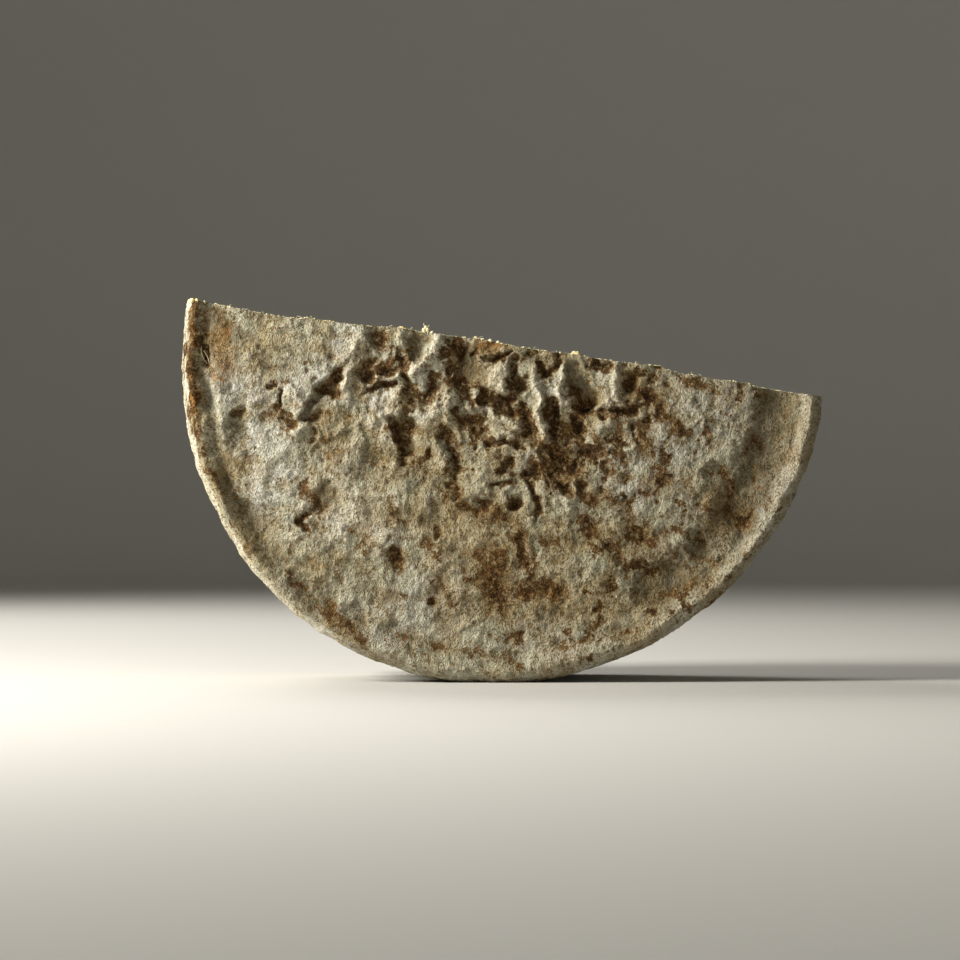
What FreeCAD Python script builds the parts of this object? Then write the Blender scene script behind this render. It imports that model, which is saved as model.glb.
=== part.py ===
"""Half wheel of a mould-ripened Caerphilly cheese, standing on its rounded rim.

The frame: X runs along the cut, Y through the wheel's thickness with the shown
rind face towards -Y, and Z up.  The wheel is modelled about its own axis, which
runs along Y through the origin, and is set down on its rest flat at the end.
"""
import FreeCAD, Part
import math
import os
import Sketcher
from FreeCAD import Placement, Rotation, Vector

DOCUMENT = FreeCAD.newDocument("CaerphillyHalfWheel")

# Driving sizes, in millimetres and degrees ---------------------------------

SIZES = {
    # the whole wheel
    "wheel_radius": 120.0,
    "wheel_thickness": 84.0,
    "rim_rounding": 7.5,
    # how far the drained curd settled out of round
    "oval_swell": 0.4,
    "oval_turn": 8.0,
    "three_lobe_swell": 1.0,
    "three_lobe_turn": -3.0,
    # the side wall between its two rims
    "waist_depth": 2.4,
    "belly_depth": 1.3,
    "belly_shift": 3.0,
    # the knife cut: its place, its lean, and the marks of its strokes
    "cut_offset": 6.3,
    "cut_lean": 8.6,
    "stroke_radius": 260.0,
    "torn_run": 1.4,
    "cut_start": 122.0,
    # where the rim has settled flat under the weight
    "rest_flat": 1.7,
    # the sunken rind faces
    "face_sink": 2.4,
    "crest_sink": 0.5,
    "crest_inset": 6.5,
    "sink_run": 8.0,
    "groove_inset": 12.0,
    "groove_width": 3.6,
    "groove_depth": 1.1,
    "groove_lean": 0.7,
    "wave_height": 0.35,
    "wave_length": 46.0,
    "relief_pitch": 3.5,
    "relief_margin": 6.0,
    "far_shift": 34.0,
}

# One knife stroke after another, from the left: width, height where it enters
# and height where it leaves, against the mean plane of the cut.
KNIFE_STROKES = (
    (15.0, 0.3, -0.3),
    (30.0, -0.4, -0.9),
    (34.0, -0.2, 1.0),
    (28.0, 1.3, 1.5),
    (36.0, 1.6, 1.2),
    (31.0, 1.1, 1.7),
    (32.0, 0.8, 0.2),
    (30.0, -0.6, 0.0),
)

# Folds of the loose rind, each a stroke from one point to another over the
# face (x, z, x, z), with its half width and its height.
RIDGES = (
    (-53, 14, -57, -5, 3.2, 1.8),
    (-57, -5, -75, -27, 3.4, 2.0),
    (-75, -27, -86, -42, 5.5, 0.9),
    (-79, -9, -74, -13, 3.6, 1.2),
    (-105, -8, -103, -28, 4.0, 0.8),
    (-50, -10, -38, -6, 2.8, 1.2),
    (-38, 12, -36, 2, 2.8, 1.4),
    (-24, 8, -33, -6, 3.2, 1.8),
    (-39, -12, -52, -22, 4.0, 1.0),
    (-20, -11, -20, -20, 3.2, 1.0),
    (-10, 7, -5, 0, 2.6, 1.2),
    (-1, -3, 2, -8, 4.8, 2.0),
    (-8, -13, 7, -26, 3.0, 1.8),
    (12, -2, 15, -14, 2.8, 1.8),
    (14, -16, 17, -29, 2.8, 1.8),
    (22, -3, 24, -14, 3.0, 0.9),
    (41, -3, 43, -14, 3.2, 1.9),
    (42, -15, 34, -18, 3.0, 1.2),
    (48, -24, 48, -33, 3.0, 0.9),
    (18, -44, 24, -54, 3.6, 1.3),
    (-7, -39, -8, -47, 4.4, 1.2),
    (-22, -30, -20, -42, 3.8, 0.8),
    (-60, -36, -46, -62, 13.0, 1.4),
    (78, -36, 73, -46, 4.0, 1.0),
)
HOLLOWS = (
    (-70, -20, -61, -7, 3.6, 2.3),
    (-52, -5, -48, -1, 3.4, 1.9),
    (-31, 3, -30, 9, 3.2, 1.6),
    (-36, 4, -36, 2, 3.0, 1.3),
    (-12, 6, -12, -4, 3.6, 2.2),
    (-24, -10, -35, -11, 3.4, 1.8),
    (-40, -20, -37, -35, 2.8, 1.4),
    (-14, -8, -12, -13, 3.2, 1.4),
    (5, 0, 6, -12, 3.0, 2.3),
    (-5, -16, 8, -19, 3.2, 2.0),
    (18, -13, 19, -28, 2.8, 2.1),
    (17, -3, 22, -1, 2.6, 1.4),
    (27, -6, 33, -15, 3.6, 2.2),
    (16, -34, 27, -38, 5.0, 2.4),
    (20, -41, 23, -46, 3.0, 1.4),
    (12, -45, 13, -57, 2.6, 1.3),
    (6, -52, 6, -53, 2.8, 1.5),
    (38, -17, 50, -17, 2.8, 1.3),
    (-17, -28, -17, -48, 3.0, 1.6),
    (-35, -22, -34, -30, 3.6, 1.4),
    (-82, -8, -80, -20, 3.0, 1.4),
    (-98, -22, -97, -27, 5.0, 1.2),
    (88, -56, 92, -60, 6.5, 1.5),
    (55, -82, 62, -82, 7.5, 1.2),
    (-66, -50, -73, -60, 3.8, 1.3),
    (-3, -82, 2, -86, 4.0, 0.8),
)

OUTLINE_POLES = 16
# Where round the rim's quarter circle its outlines stand, face to side
ROUNDING_ANGLES = (90.0, 60.0, 30.0, 0.0)


def write_sizes(document):
    """Put every driving size in a spreadsheet, one alias to a row."""
    sheet = document.addObject("Spreadsheet::Sheet", "Sizes")
    named = dict(SIZES)
    for number, (width, enters, leaves) in enumerate(KNIFE_STROKES, 1):
        named["stroke_width_%d" % number] = width
        named["stroke_enters_%d" % number] = enters
        named["stroke_leaves_%d" % number] = leaves
    for row, (name, value) in enumerate(named.items(), 1):
        sheet.set("A%d" % row, name)
        sheet.set("B%d" % row, str(value))
        sheet.setAlias("B%d" % row, name)
    document.recompute()
    return sheet


def size(name):
    """The value that the spreadsheet holds for a size."""
    return float(SHEET.get(name))


def front_sketch(body, name):
    """An empty sketch on the wheel's middle plane; its normal points to -Y."""
    sketch = body.newObject("Sketcher::SketchObject", name)
    middle = [plane for plane in body.Origin.OriginFeatures if plane.Role == "XZ_Plane"]
    sketch.AttachmentSupport = [(middle[0], "")]
    sketch.MapMode = "FlatFace"
    return sketch


def bind(sketch, kind, places, start, expression):
    """Add a dimension with a starting value and tie it to the spreadsheet."""
    index = sketch.addConstraint(Sketcher.Constraint(kind, *places, start))
    sketch.setExpression("Constraints[%d]" % index, expression)


# The wheel ------------------------------------------------------------------

def outline_radius(angle, inset):
    """Radius of the settled outline at an angle, and its spreadsheet formula.

    inset is how far the side wall stands inside the full outline there, as a
    value and as a formula.
    """
    oval = size("oval_swell") * math.cos(math.radians(2 * (angle - size("oval_turn"))))
    lobes = size("three_lobe_swell") * math.cos(math.radians(3 * (angle - size("three_lobe_turn"))))
    value = size("wheel_radius") + oval + lobes - inset[0]
    formula = (
        "Sizes.wheel_radius"
        " + Sizes.oval_swell * cos(2 * (%g - Sizes.oval_turn))"
        " + Sizes.three_lobe_swell * cos(3 * (%g - Sizes.three_lobe_turn))"
        " - %s" % (angle, angle, inset[1])
    )
    return value, formula


def outline_sketch(body, name, offset, inset):
    """A closed spline outline of the wheel at one depth through its thickness."""
    sketch = front_sketch(body, name)
    sketch.setExpression("AttachmentOffset.Base.z", offset)
    # the spline passes inside its poles by this share of the radius
    reach = 3.0 / (2.0 + math.cos(2.0 * math.pi / OUTLINE_POLES))
    poles = []
    for number in range(OUTLINE_POLES):
        angle = 360.0 * number / OUTLINE_POLES
        radius = outline_radius(angle, inset)[0] * reach
        turn = math.radians(angle)
        poles.append(Vector(radius * math.cos(turn), radius * math.sin(turn), 0))
    curve = Part.BSplineCurve()
    curve.buildFromPoles(poles, True, 3)
    spline = sketch.addGeometry(curve, False)
    for number, pole in enumerate(poles):
        angle = 360.0 * number / OUTLINE_POLES
        formula = "(%s) * %.6f" % (outline_radius(angle, inset)[1], reach)
        mark = sketch.addGeometry(Part.Circle(pole, Vector(0, 0, 1), 4.0), True)
        sketch.addConstraint(Sketcher.Constraint("Weight", mark, 1.0))
        control = "InternalAlignment:Sketcher::BSplineControlPoint"
        sketch.addConstraint(Sketcher.Constraint(control, mark, 3, spline, number))
        on_axis = angle % 180.0 == 0.0
        upright = angle % 180.0 == 90.0
        if on_axis or upright:
            axis = -1 if on_axis else -2
            sketch.addConstraint(Sketcher.Constraint("PointOnObject", mark, 3, axis))
        if not upright:
            across = "%s * cos(%g)" % (formula, angle)
            bind(sketch, "DistanceX", (-1, 1, mark, 3), pole.x, across)
        if not on_axis:
            up = "%s * sin(%g)" % (formula, angle)
            bind(sketch, "DistanceY", (-1, 1, mark, 3), pole.y, up)
    return sketch


def rim_stations(toward, side):
    """Stations round one rim, from the face's edge to the full outline."""
    stations = []
    for number, angle in enumerate(ROUNDING_ANGLES):
        share = 1.0 - math.cos(math.radians(angle))
        inset = (size("rim_rounding") * share, "Sizes.rim_rounding * (1 - cos(%g))" % angle)
        level = "(Sizes.wheel_thickness / 2 - Sizes.rim_rounding * (1 - sin(%g)))" % angle
        stations.append(("Outline%sRim%d" % (side, number), toward + level, inset))
    return stations


def loft_wheel(body):
    """The drained wheel: two rounded rims, a waist behind each, a soft belly."""
    waist = "(Sizes.wheel_thickness / 2 - Sizes.rim_rounding) / 2"
    waist_in = (size("waist_depth"), "Sizes.waist_depth")
    belly_in = (size("belly_depth"), "Sizes.belly_depth")
    stations = rim_stations("", "Shown")
    stations.append(("OutlineShownWaist", waist + " + Sizes.belly_shift", waist_in))
    stations.append(("OutlineBelly", "Sizes.belly_shift", belly_in))
    stations.append(("OutlineFarWaist", "-" + waist, waist_in))
    stations.extend(reversed(rim_stations("-", "Far")))
    sketches = [outline_sketch(body, *station) for station in stations]
    DOCUMENT.recompute()
    loft = body.newObject("PartDesign::AdditiveLoft", "DrainedWheel")
    loft.Profile = sketches[0]
    loft.Sections = sketches[1:]
    loft.Ruled = False
    DOCUMENT.recompute()
    return loft


# The knife cut and the flat it rests on -------------------------------------

def stroke_sketch(body):
    """The cut seen end on: hollow-ground strokes with a torn step between."""
    sketch = front_sketch(body, "KnifeStrokes")
    lean = Rotation(Vector(0, 0, -1), size("cut_lean"))
    sketch.AttachmentOffset = Placement(Vector(0, 0, 0), lean)
    sketch.setExpression("AttachmentOffset.Rotation.Angle", "Sizes.cut_lean")
    sketch.setExpression("AttachmentOffset.Base.x", "Sizes.cut_offset * sin(Sizes.cut_lean)")
    sketch.setExpression("AttachmentOffset.Base.y", "Sizes.cut_offset * cos(Sizes.cut_lean)")
    reach = 1.5 * size("wheel_radius")
    along = -size("cut_start")
    first = Vector(-reach, size("stroke_enters_1"), 0)
    corner = Vector(along, size("stroke_enters_1"), 0)
    before = sketch.addGeometry(Part.LineSegment(first, corner), False)
    sketch.addConstraint(Sketcher.Constraint("Horizontal", before))
    bind(sketch, "DistanceX", (before, 1, -1, 1), reach, "1.5 * Sizes.wheel_radius")
    bind(sketch, "DistanceX", (before, 2, -1, 1), size("cut_start"), "Sizes.cut_start")
    lead_in = before
    for number, (width, enters, leaves) in enumerate(KNIFE_STROKES, 1):
        if number > 1:
            corner = Vector(along + size("torn_run"), enters, 0)
            step = sketch.addGeometry(Part.LineSegment(last, corner), False)
            sketch.addConstraint(Sketcher.Constraint("Coincident", before, 2, step, 1))
            bind(sketch, "DistanceX", (step, 1, step, 2), size("torn_run"), "Sizes.torn_run")
            along += size("torn_run")
            before = step
        last = Vector(along + width, leaves, 0)
        chord = (last - corner).Length
        sag = size("stroke_radius") - math.sqrt(size("stroke_radius") ** 2 - chord ** 2 / 4)
        lowest = (corner + last) * 0.5 - Vector(0, sag, 0)
        arc = sketch.addGeometry(Part.Arc(corner, lowest, last), False)
        sketch.addConstraint(Sketcher.Constraint("Coincident", before, 2, arc, 1))
        bind(sketch, "Radius", (arc,), size("stroke_radius"), "Sizes.stroke_radius")
        bind(sketch, "DistanceX", (arc, 1, arc, 2), width, "Sizes.stroke_width_%d" % number)
        bind(sketch, "DistanceY", (-1, 1, arc, 1), enters, "Sizes.stroke_enters_%d" % number)
        bind(sketch, "DistanceY", (-1, 1, arc, 2), leaves, "Sizes.stroke_leaves_%d" % number)
        along += width
        before = arc
    # away past the rim, up, and back over the half that is taken off
    corners = (last, Vector(reach, last.y, 0), Vector(reach, reach, 0), Vector(-reach, reach, 0), first)
    kinds = ("Horizontal", "Vertical", "Horizontal", "Vertical")
    for kind, start, end in zip(kinds, corners[:-1], corners[1:]):
        side = sketch.addGeometry(Part.LineSegment(start, end), False)
        sketch.addConstraint(Sketcher.Constraint("Coincident", before, 2, side, 1))
        sketch.addConstraint(Sketcher.Constraint(kind, side))
        if end.x > 0 and end.y < reach:
            bind(sketch, "DistanceX", (-1, 1, side, 2), reach, "1.5 * Sizes.wheel_radius")
        if end.x > 0 and end.y == reach:
            bind(sketch, "DistanceY", (-1, 1, side, 2), reach, "1.5 * Sizes.wheel_radius")
        before = side
    sketch.addConstraint(Sketcher.Constraint("Coincident", before, 2, lead_in, 1))
    return sketch


def flat_sketch(body):
    """A block below the level at which the rim rests."""
    sketch = front_sketch(body, "RestFlat")
    side = size("wheel_radius")
    top = -(side - size("rest_flat"))
    corners = (
        Vector(-side, top, 0),
        Vector(side, top, 0),
        Vector(side, -2 * side, 0),
        Vector(-side, -2 * side, 0),
    )
    for start, end in zip(corners, corners[1:] + corners[:1]):
        sketch.addGeometry(Part.LineSegment(start, end), False)
    for number, kind in enumerate(("Horizontal", "Vertical", "Horizontal", "Vertical")):
        sketch.addConstraint(Sketcher.Constraint("Coincident", number, 2, (number + 1) % 4, 1))
        sketch.addConstraint(Sketcher.Constraint(kind, number))
    bind(sketch, "DistanceX", (0, 1, -1, 1), side, "Sizes.wheel_radius")
    bind(sketch, "DistanceX", (-1, 1, 0, 2), side, "Sizes.wheel_radius")
    level = "Sizes.wheel_radius - Sizes.rest_flat"
    bind(sketch, "DistanceY", (0, 1, -1, 1), -top, level)
    bind(sketch, "DistanceY", (2, 1, -1, 1), 2 * side, "2 * Sizes.wheel_radius")
    return sketch


def cut_through(body, sketch, name):
    """Pocket a sketch through the whole thickness, and check that it cut."""
    before = body.Shape.copy()
    pocket = body.newObject("PartDesign::Pocket", name)
    pocket.Profile = sketch
    pocket.Type = "ThroughAll"
    pocket.SideType = "Symmetric"
    DOCUMENT.recompute()
    if before.cut(pocket.Shape).Volume < 1.0:
        raise RuntimeError(name + " removed nothing")
    return pocket


# The sunken, folded rind faces ----------------------------------------------

def stroke_weight(x, z, fold):
    """How much a fold's stroke lifts a point: 1 along it, fading to 0 beside it."""
    start_x, start_z, end_x, end_z, width, height = fold
    run_x = end_x - start_x
    run_z = end_z - start_z
    share = ((x - start_x) * run_x + (z - start_z) * run_z) / (run_x ** 2 + run_z ** 2)
    share = min(1.0, max(0.0, share))
    away = math.hypot(x - start_x - share * run_x, z - start_z - share * run_z)
    return height * math.exp(-((away / width) ** 2))


def smooth_step(value):
    """0 below 0, 1 above 1, and an even curve between."""
    value = min(1.0, max(0.0, value))
    return value * value * (3.0 - 2.0 * value)


def face_depth(x, z, place_x, place_z):
    """Depth of the rind below the rim's crest plane at a point of a face."""
    radius = math.hypot(x, z)
    inward = size("wheel_radius") - size("crest_inset") - radius
    inside = smooth_step(inward / size("sink_run"))
    depth = size("crest_sink") + (size("face_sink") - size("crest_sink")) * inside
    # the groove inside the rim, deeper on one side than on the other
    off_groove = (size("wheel_radius") - size("groove_inset") - radius) / size("groove_width")
    one_side = 1.0 - size("groove_lean") * x / size("wheel_radius")
    depth += size("groove_depth") * one_side * math.exp(-off_groove ** 2)
    # slow waves of the pressed curd under the rind
    turn = 2.0 * math.pi / size("wave_length")
    waves = math.sin(turn * (x + 0.4 * z)) + math.sin(turn * 1.37 * (z - 0.3 * x) + 1.0)
    depth -= size("wave_height") * waves * inside
    folds = sum(stroke_weight(place_x, place_z, fold) for fold in RIDGES)
    folds -= sum(stroke_weight(place_x, place_z, fold) for fold in HOLLOWS)
    return max(size("crest_sink"), depth - folds * inside)


def face_tool(name, side):
    """What the face has sunk away from: a block whose inner wall is the rind.

    side is -1 for the shown face and +1 for the far one, which has the same
    kind of folds, mirrored and lower down.
    """
    across = size("wheel_radius") + size("relief_margin")
    above = 0.4 * size("wheel_radius")
    pitch = size("relief_pitch")
    columns = int(round(2 * across / pitch))
    rows = int(round((across + above) / pitch))
    grid = []
    for column in range(columns + 1):
        x = -across + 2 * across * column / columns
        line = []
        for row in range(rows + 1):
            z = -across + (across + above) * row / rows
            if side < 0:
                depth = face_depth(x, z, x, z)
            else:
                depth = face_depth(x, z, -x, z + size("far_shift"))
            line.append(Vector(x, side * (size("wheel_thickness") / 2 - depth), z))
        grid.append(line)
    surface = Part.BSplineSurface()
    surface.interpolate(grid)
    block = surface.toShape().extrude(Vector(0, side * 3 * size("rim_rounding"), 0))
    tool = DOCUMENT.addObject("Part::Feature", name)
    tool.Shape = block
    return tool


def take_off(base, tool, name):
    """Cut a tool's shape from a sub-part."""
    cut = DOCUMENT.addObject("Part::Cut", name)
    cut.Base = base
    cut.Tool = tool
    DOCUMENT.recompute()
    return cut


# Assembly -------------------------------------------------------------------

SHEET = write_sizes(DOCUMENT)
WHEEL = DOCUMENT.addObject("PartDesign::Body", "PressedWheel")
loft_wheel(WHEEL)
cut_through(WHEEL, stroke_sketch(WHEEL), "KnifeCut")
cut_through(WHEEL, flat_sketch(WHEEL), "SettledRim")
SHOWN = take_off(WHEEL, face_tool("ShownFaceHollow", -1), "ShownFaceSunk")
HALF_WHEEL = take_off(SHOWN, face_tool("FarFaceHollow", 1), "HalfWheel")
HALF_WHEEL.Label = "half_wheel"

# set down on the rest flat, with the origin under the middle of its box
BOX = HALF_WHEEL.Shape.optimalBoundingBox()
HALF_WHEEL.Placement = Placement(Vector(-BOX.Center.x, -BOX.Center.y, -BOX.ZMin), Rotation())
DOCUMENT.recompute()

for item in DOCUMENT.Objects:
    if "Invalid" in item.State or "Error" in item.State:
        raise RuntimeError(item.Name + " did not recompute")
if HALF_WHEEL.Shape.isNull() or not HALF_WHEEL.Shape.isValid():
    raise RuntimeError(HALF_WHEEL.Label + " has no valid shape")
if len(HALF_WHEEL.Shape.Solids) != 1:
    raise RuntimeError(HALF_WHEEL.Label + " is not one solid")

os.makedirs("parts", exist_ok=True)
HALF_WHEEL.Shape.exportStep(os.path.join("parts", HALF_WHEEL.Label + ".step"))
print("%s: %.0f mm3" % (HALF_WHEEL.Label, HALF_WHEEL.Shape.Volume), HALF_WHEEL.Shape.optimalBoundingBox())
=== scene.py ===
import math
from collections import namedtuple

import bmesh
import bpy
import numpy as np
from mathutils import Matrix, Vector, geometry


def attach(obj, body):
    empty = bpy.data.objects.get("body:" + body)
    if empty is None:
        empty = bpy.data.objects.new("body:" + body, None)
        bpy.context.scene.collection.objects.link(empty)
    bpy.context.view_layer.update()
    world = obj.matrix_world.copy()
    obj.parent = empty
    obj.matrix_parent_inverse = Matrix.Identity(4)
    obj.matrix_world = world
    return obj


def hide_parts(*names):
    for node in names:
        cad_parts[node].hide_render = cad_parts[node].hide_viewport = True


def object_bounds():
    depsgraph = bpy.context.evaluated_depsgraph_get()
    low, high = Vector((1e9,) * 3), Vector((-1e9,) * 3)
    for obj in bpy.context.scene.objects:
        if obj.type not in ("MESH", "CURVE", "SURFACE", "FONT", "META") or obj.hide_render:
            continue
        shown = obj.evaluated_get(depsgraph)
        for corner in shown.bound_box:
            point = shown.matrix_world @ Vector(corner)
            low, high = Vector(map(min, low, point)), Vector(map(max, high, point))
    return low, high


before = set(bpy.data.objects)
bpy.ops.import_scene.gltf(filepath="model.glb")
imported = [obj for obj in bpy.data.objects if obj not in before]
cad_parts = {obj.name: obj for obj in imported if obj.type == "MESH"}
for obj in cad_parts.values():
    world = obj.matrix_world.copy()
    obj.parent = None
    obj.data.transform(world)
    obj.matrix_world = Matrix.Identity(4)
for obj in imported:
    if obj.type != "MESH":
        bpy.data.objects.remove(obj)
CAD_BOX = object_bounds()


# The set ---------------------------------------------------------------------
# A plain pale sweep, round like a bowl so that it stands behind the cheese from
# every side, a soft window of light from the left, and a weak fill on the right.

def light_panel(name, place, aim, size, power, tint):
    """A soft rectangular light that faces the point it is aimed at."""
    data = bpy.data.lights.new(name, "AREA")
    data.shape = "RECTANGLE"
    data.size, data.size_y = size
    data.energy = power
    data.color = tint
    panel = bpy.data.objects.new(name, data)
    panel.location = place
    panel.rotation_euler = (Vector(aim) - Vector(place)).to_track_quat("-Z", "Y").to_euler()
    bpy.context.scene.collection.objects.link(panel)


floor_radius, cove_radius, wall_height, sweep_turns = 1.9, 0.7, 2.4, 96
sweep_profile = [(0.0, 0.0), (floor_radius, 0.0)]
for step in range(1, 13):
    turn = math.radians(90.0 * step / 12)
    out = floor_radius + cove_radius * math.sin(turn)
    sweep_profile.append((out, cove_radius * (1.0 - math.cos(turn))))
sweep_profile.append((floor_radius + cove_radius, wall_height))
sweep_points, sweep_faces = [(0.0, 0.0, 0.0)], []
for radius, height in sweep_profile[1:]:
    for number in range(sweep_turns):
        turn = 2.0 * math.pi * number / sweep_turns
        sweep_points.append((radius * math.cos(turn), radius * math.sin(turn), height))
for number in range(sweep_turns):
    beside = (number + 1) % sweep_turns
    sweep_faces.append((0, 1 + number, 1 + beside))
    for ring in range(len(sweep_profile) - 2):
        inner, outer = 1 + ring * sweep_turns, 1 + (ring + 1) * sweep_turns
        sweep_faces.append((inner + number, outer + number, outer + beside, inner + beside))
sweep_mesh = bpy.data.meshes.new("sweep")
sweep_mesh.from_pydata(sweep_points, [], sweep_faces)
sweep_mesh.shade_smooth()
sweep = bpy.data.objects.new("sweep", sweep_mesh)
bpy.context.scene.collection.objects.link(sweep)
sweep_paint = bpy.data.materials.new("pale paper")
sweep_paint.use_nodes = True
sweep_shader = sweep_paint.node_tree.nodes["Principled BSDF"]
sweep_shader.inputs["Base Color"].default_value = (0.58, 0.567, 0.537, 1.0)
sweep_shader.inputs["Roughness"].default_value = 0.9
sweep_mesh.materials.append(sweep_paint)

light_panel("window", (-0.75, -0.30, 0.49), (0.0, -0.03, 0.07), (0.25, 0.35), 15.4, (1.0, 0.975, 0.90))
light_panel("bounce", (0.7, -1.2, 0.5), (0.0, 0.0, 0.07), (0.9, 0.9), 0.7, (1.0, 0.95, 0.84))
light_panel("back window", (-0.55, 0.75, 0.75), (0.0, 0.0, 0.07), (0.6, 0.6), 9.0, (1.0, 0.97, 0.92))

studio_air = bpy.data.worlds.new("studio air")
studio_air.use_nodes = True
studio_air.node_tree.nodes["Background"].inputs["Color"].default_value = (1.0, 0.96, 0.87, 1.0)
studio_air.node_tree.nodes["Background"].inputs["Strength"].default_value = 0.08
bpy.context.scene.world = studio_air
bpy.context.scene.view_settings.view_transform = "Standard"

# a long lens in front of the cheese, a little below the height of its middle
camera_distance = 1.4
camera_data = bpy.data.cameras.new("camera")
camera_data.lens = 141.9
camera_data.sensor_width = 36.0
camera_data.shift_y = 0.031
camera = bpy.data.objects.new("camera", camera_data)
camera.location = (-0.0082, CAD_BOX[0].y - camera_distance, 0.45 * CAD_BOX[1].z)
camera.rotation_euler = (math.radians(90.0), 0.0, 0.0)
bpy.context.scene.collection.objects.link(camera)
bpy.context.scene.camera = camera


# The shown rind face ---------------------------------------------------------
# The face of the pressed wheel, sunk inside its rim: a thin rind under velvety grey
# mould, loose enough to lie in folds, with brown floors to its hollows. Lengths are
# in millimetres from the wheel's axis, x to the right and z up.

MM = 0.001
WHEEL_RADIUS, REST_FLAT = 120.0, 1.7
FELT_ROOM = 0.35  # the skin lies this far inside the wheel's outline, to leave room for its nap
OUTER_Y = CAD_BOX[1].y / MM - 0.03  # no rind stands out past this
CREST_Y = OUTER_Y - 1.3  # the plane of the crests, without their lumps
RIM_ROUNDING, CREST_ANGLE = 7.5, math.radians(66.0)
CREST_INSET = RIM_ROUNDING * (1.0 - math.cos(CREST_ANGLE))
CREST_SLOPE = 1.0 / math.tan(CREST_ANGLE)
FACE_SINK, SINK_RUN, FAR_SHIFT = 2.1, 9.0, 34.0
WANDER_RUN = 6.0  # the crest's straying fades over this distance from it
CUT_OFFSET, CUT_LEAN = 6.3, math.radians(8.6)
CUT_FALL = 0.15  # about how far the cut falls for each millimetre to the right
RIGHT_REACH = 120.52  # from the wheel's axis to its rightmost point
AXIS = np.array([CAD_BOX[1].x / MM - RIGHT_REACH, 0.0, WHEEL_RADIUS - REST_FLAT])
CUT_TOP = CAD_BOX[1].z / MM - AXIS[2] - 0.05  # nothing on the cut rises past this


class Curd:
    """Gradient noise in space, with its own seed, smooth and about -1 to 1."""

    def __init__(self, seed):
        draw = np.random.default_rng(seed)
        self.order = np.tile(draw.permutation(256), 2)
        slopes = draw.normal(size=(256, 3))
        self.slopes = slopes / np.linalg.norm(slopes, axis=1)[:, None]

    def at(self, x, y, z):
        """The noise at these points, one cell to a unit."""
        cell = [np.floor(value).astype(np.int64) for value in (x, y, z)]
        part = [value - floor for value, floor in zip((x, y, z), cell)]
        ease = [value ** 3 * (value * (value * 6 - 15) + 10) for value in part]
        cell = [floor & 255 for floor in cell]
        total = 0.0
        for corner in range(8):
            step = (corner & 1, corner >> 1 & 1, corner >> 2 & 1)
            index = self.order[cell[0] + step[0]]
            index = self.order[index + (cell[1] + step[1] & 255)]
            index = self.order[index + (cell[2] + step[2] & 255)]
            weight = 1.0
            slope = 0.0
            for axis in range(3):
                weight = weight * (ease[axis] if step[axis] else 1.0 - ease[axis])
                slope = slope + self.slopes[index, axis] * (part[axis] - step[axis])
            total = total + weight * slope
        return total * 1.7

    def cloud(self, x, y, z, size, octaves, gain=0.5):
        """Layers of the noise, each half the size of the one before."""
        total, share, sum_of_shares = 0.0, 1.0, 0.0
        for layer in range(octaves):
            scale = 2.0 ** layer / size
            shift = 17.3 * layer
            total = total + share * self.at(x * scale + shift, y * scale - shift, z * scale + shift)
            sum_of_shares += share
            share *= gain
        return total / sum_of_shares


def ramp(value, start, end):
    """An eased step from 0 at start to 1 at end."""
    share = np.clip((value - start) / (end - start), 0.0, 1.0)
    return share * share * (3.0 - 2.0 * share)


def outline(angle):
    """Radius of the settled wheel at an angle, a little oval and three-lobed."""
    oval = 0.36 * np.cos(2.0 * (angle - math.radians(8.0)))
    lobes = 0.8 * np.cos(3.0 * (angle + math.radians(3.0)))
    return WHEEL_RADIUS - FELT_ROOM + oval + lobes


def stroke_distance(x, z, row):
    """Distance from a stroke over the face, in its own half widths."""
    run_x, run_z = row[2] - row[0], row[3] - row[1]
    share = ((x - row[0]) * run_x + (z - row[1]) * run_z) / (run_x ** 2 + run_z ** 2 + 1e-9)
    share = np.clip(share, 0.0, 1.0)
    return np.hypot(x - row[0] - share * run_x, z - row[1] - share * run_z) / row[4]


def raised(x, z, rows):
    """Height of the folds whose ridges run along these strokes."""
    total = np.zeros_like(x)
    for row in rows:
        total += (row[5] * np.exp(-1.1 * stroke_distance(x, z, row) ** 1.8)) ** 4
    return total ** 0.25


def spread(x, z, rows, fray=0.0):
    """How fully each point lies in the patches along these strokes, whose edges fray."""
    total = np.zeros_like(x)
    for row in rows:
        inside = np.clip(1.0 - 0.5 * stroke_distance(x, z, row) + fray, 0.0, 1.0)
        total = np.maximum(total, min(1.0, row[5]) * inside)
    return total


def sunk(x, z, rows, fray=0.0):
    """Depth of the hollows along these strokes."""
    total = np.zeros_like(x)
    for row in rows:
        inside = ramp(1.0 - 0.5 * stroke_distance(x, z, row) + fray, 0.26, 0.74)
        total = np.maximum(total, row[5] * inside)
    return total


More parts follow.
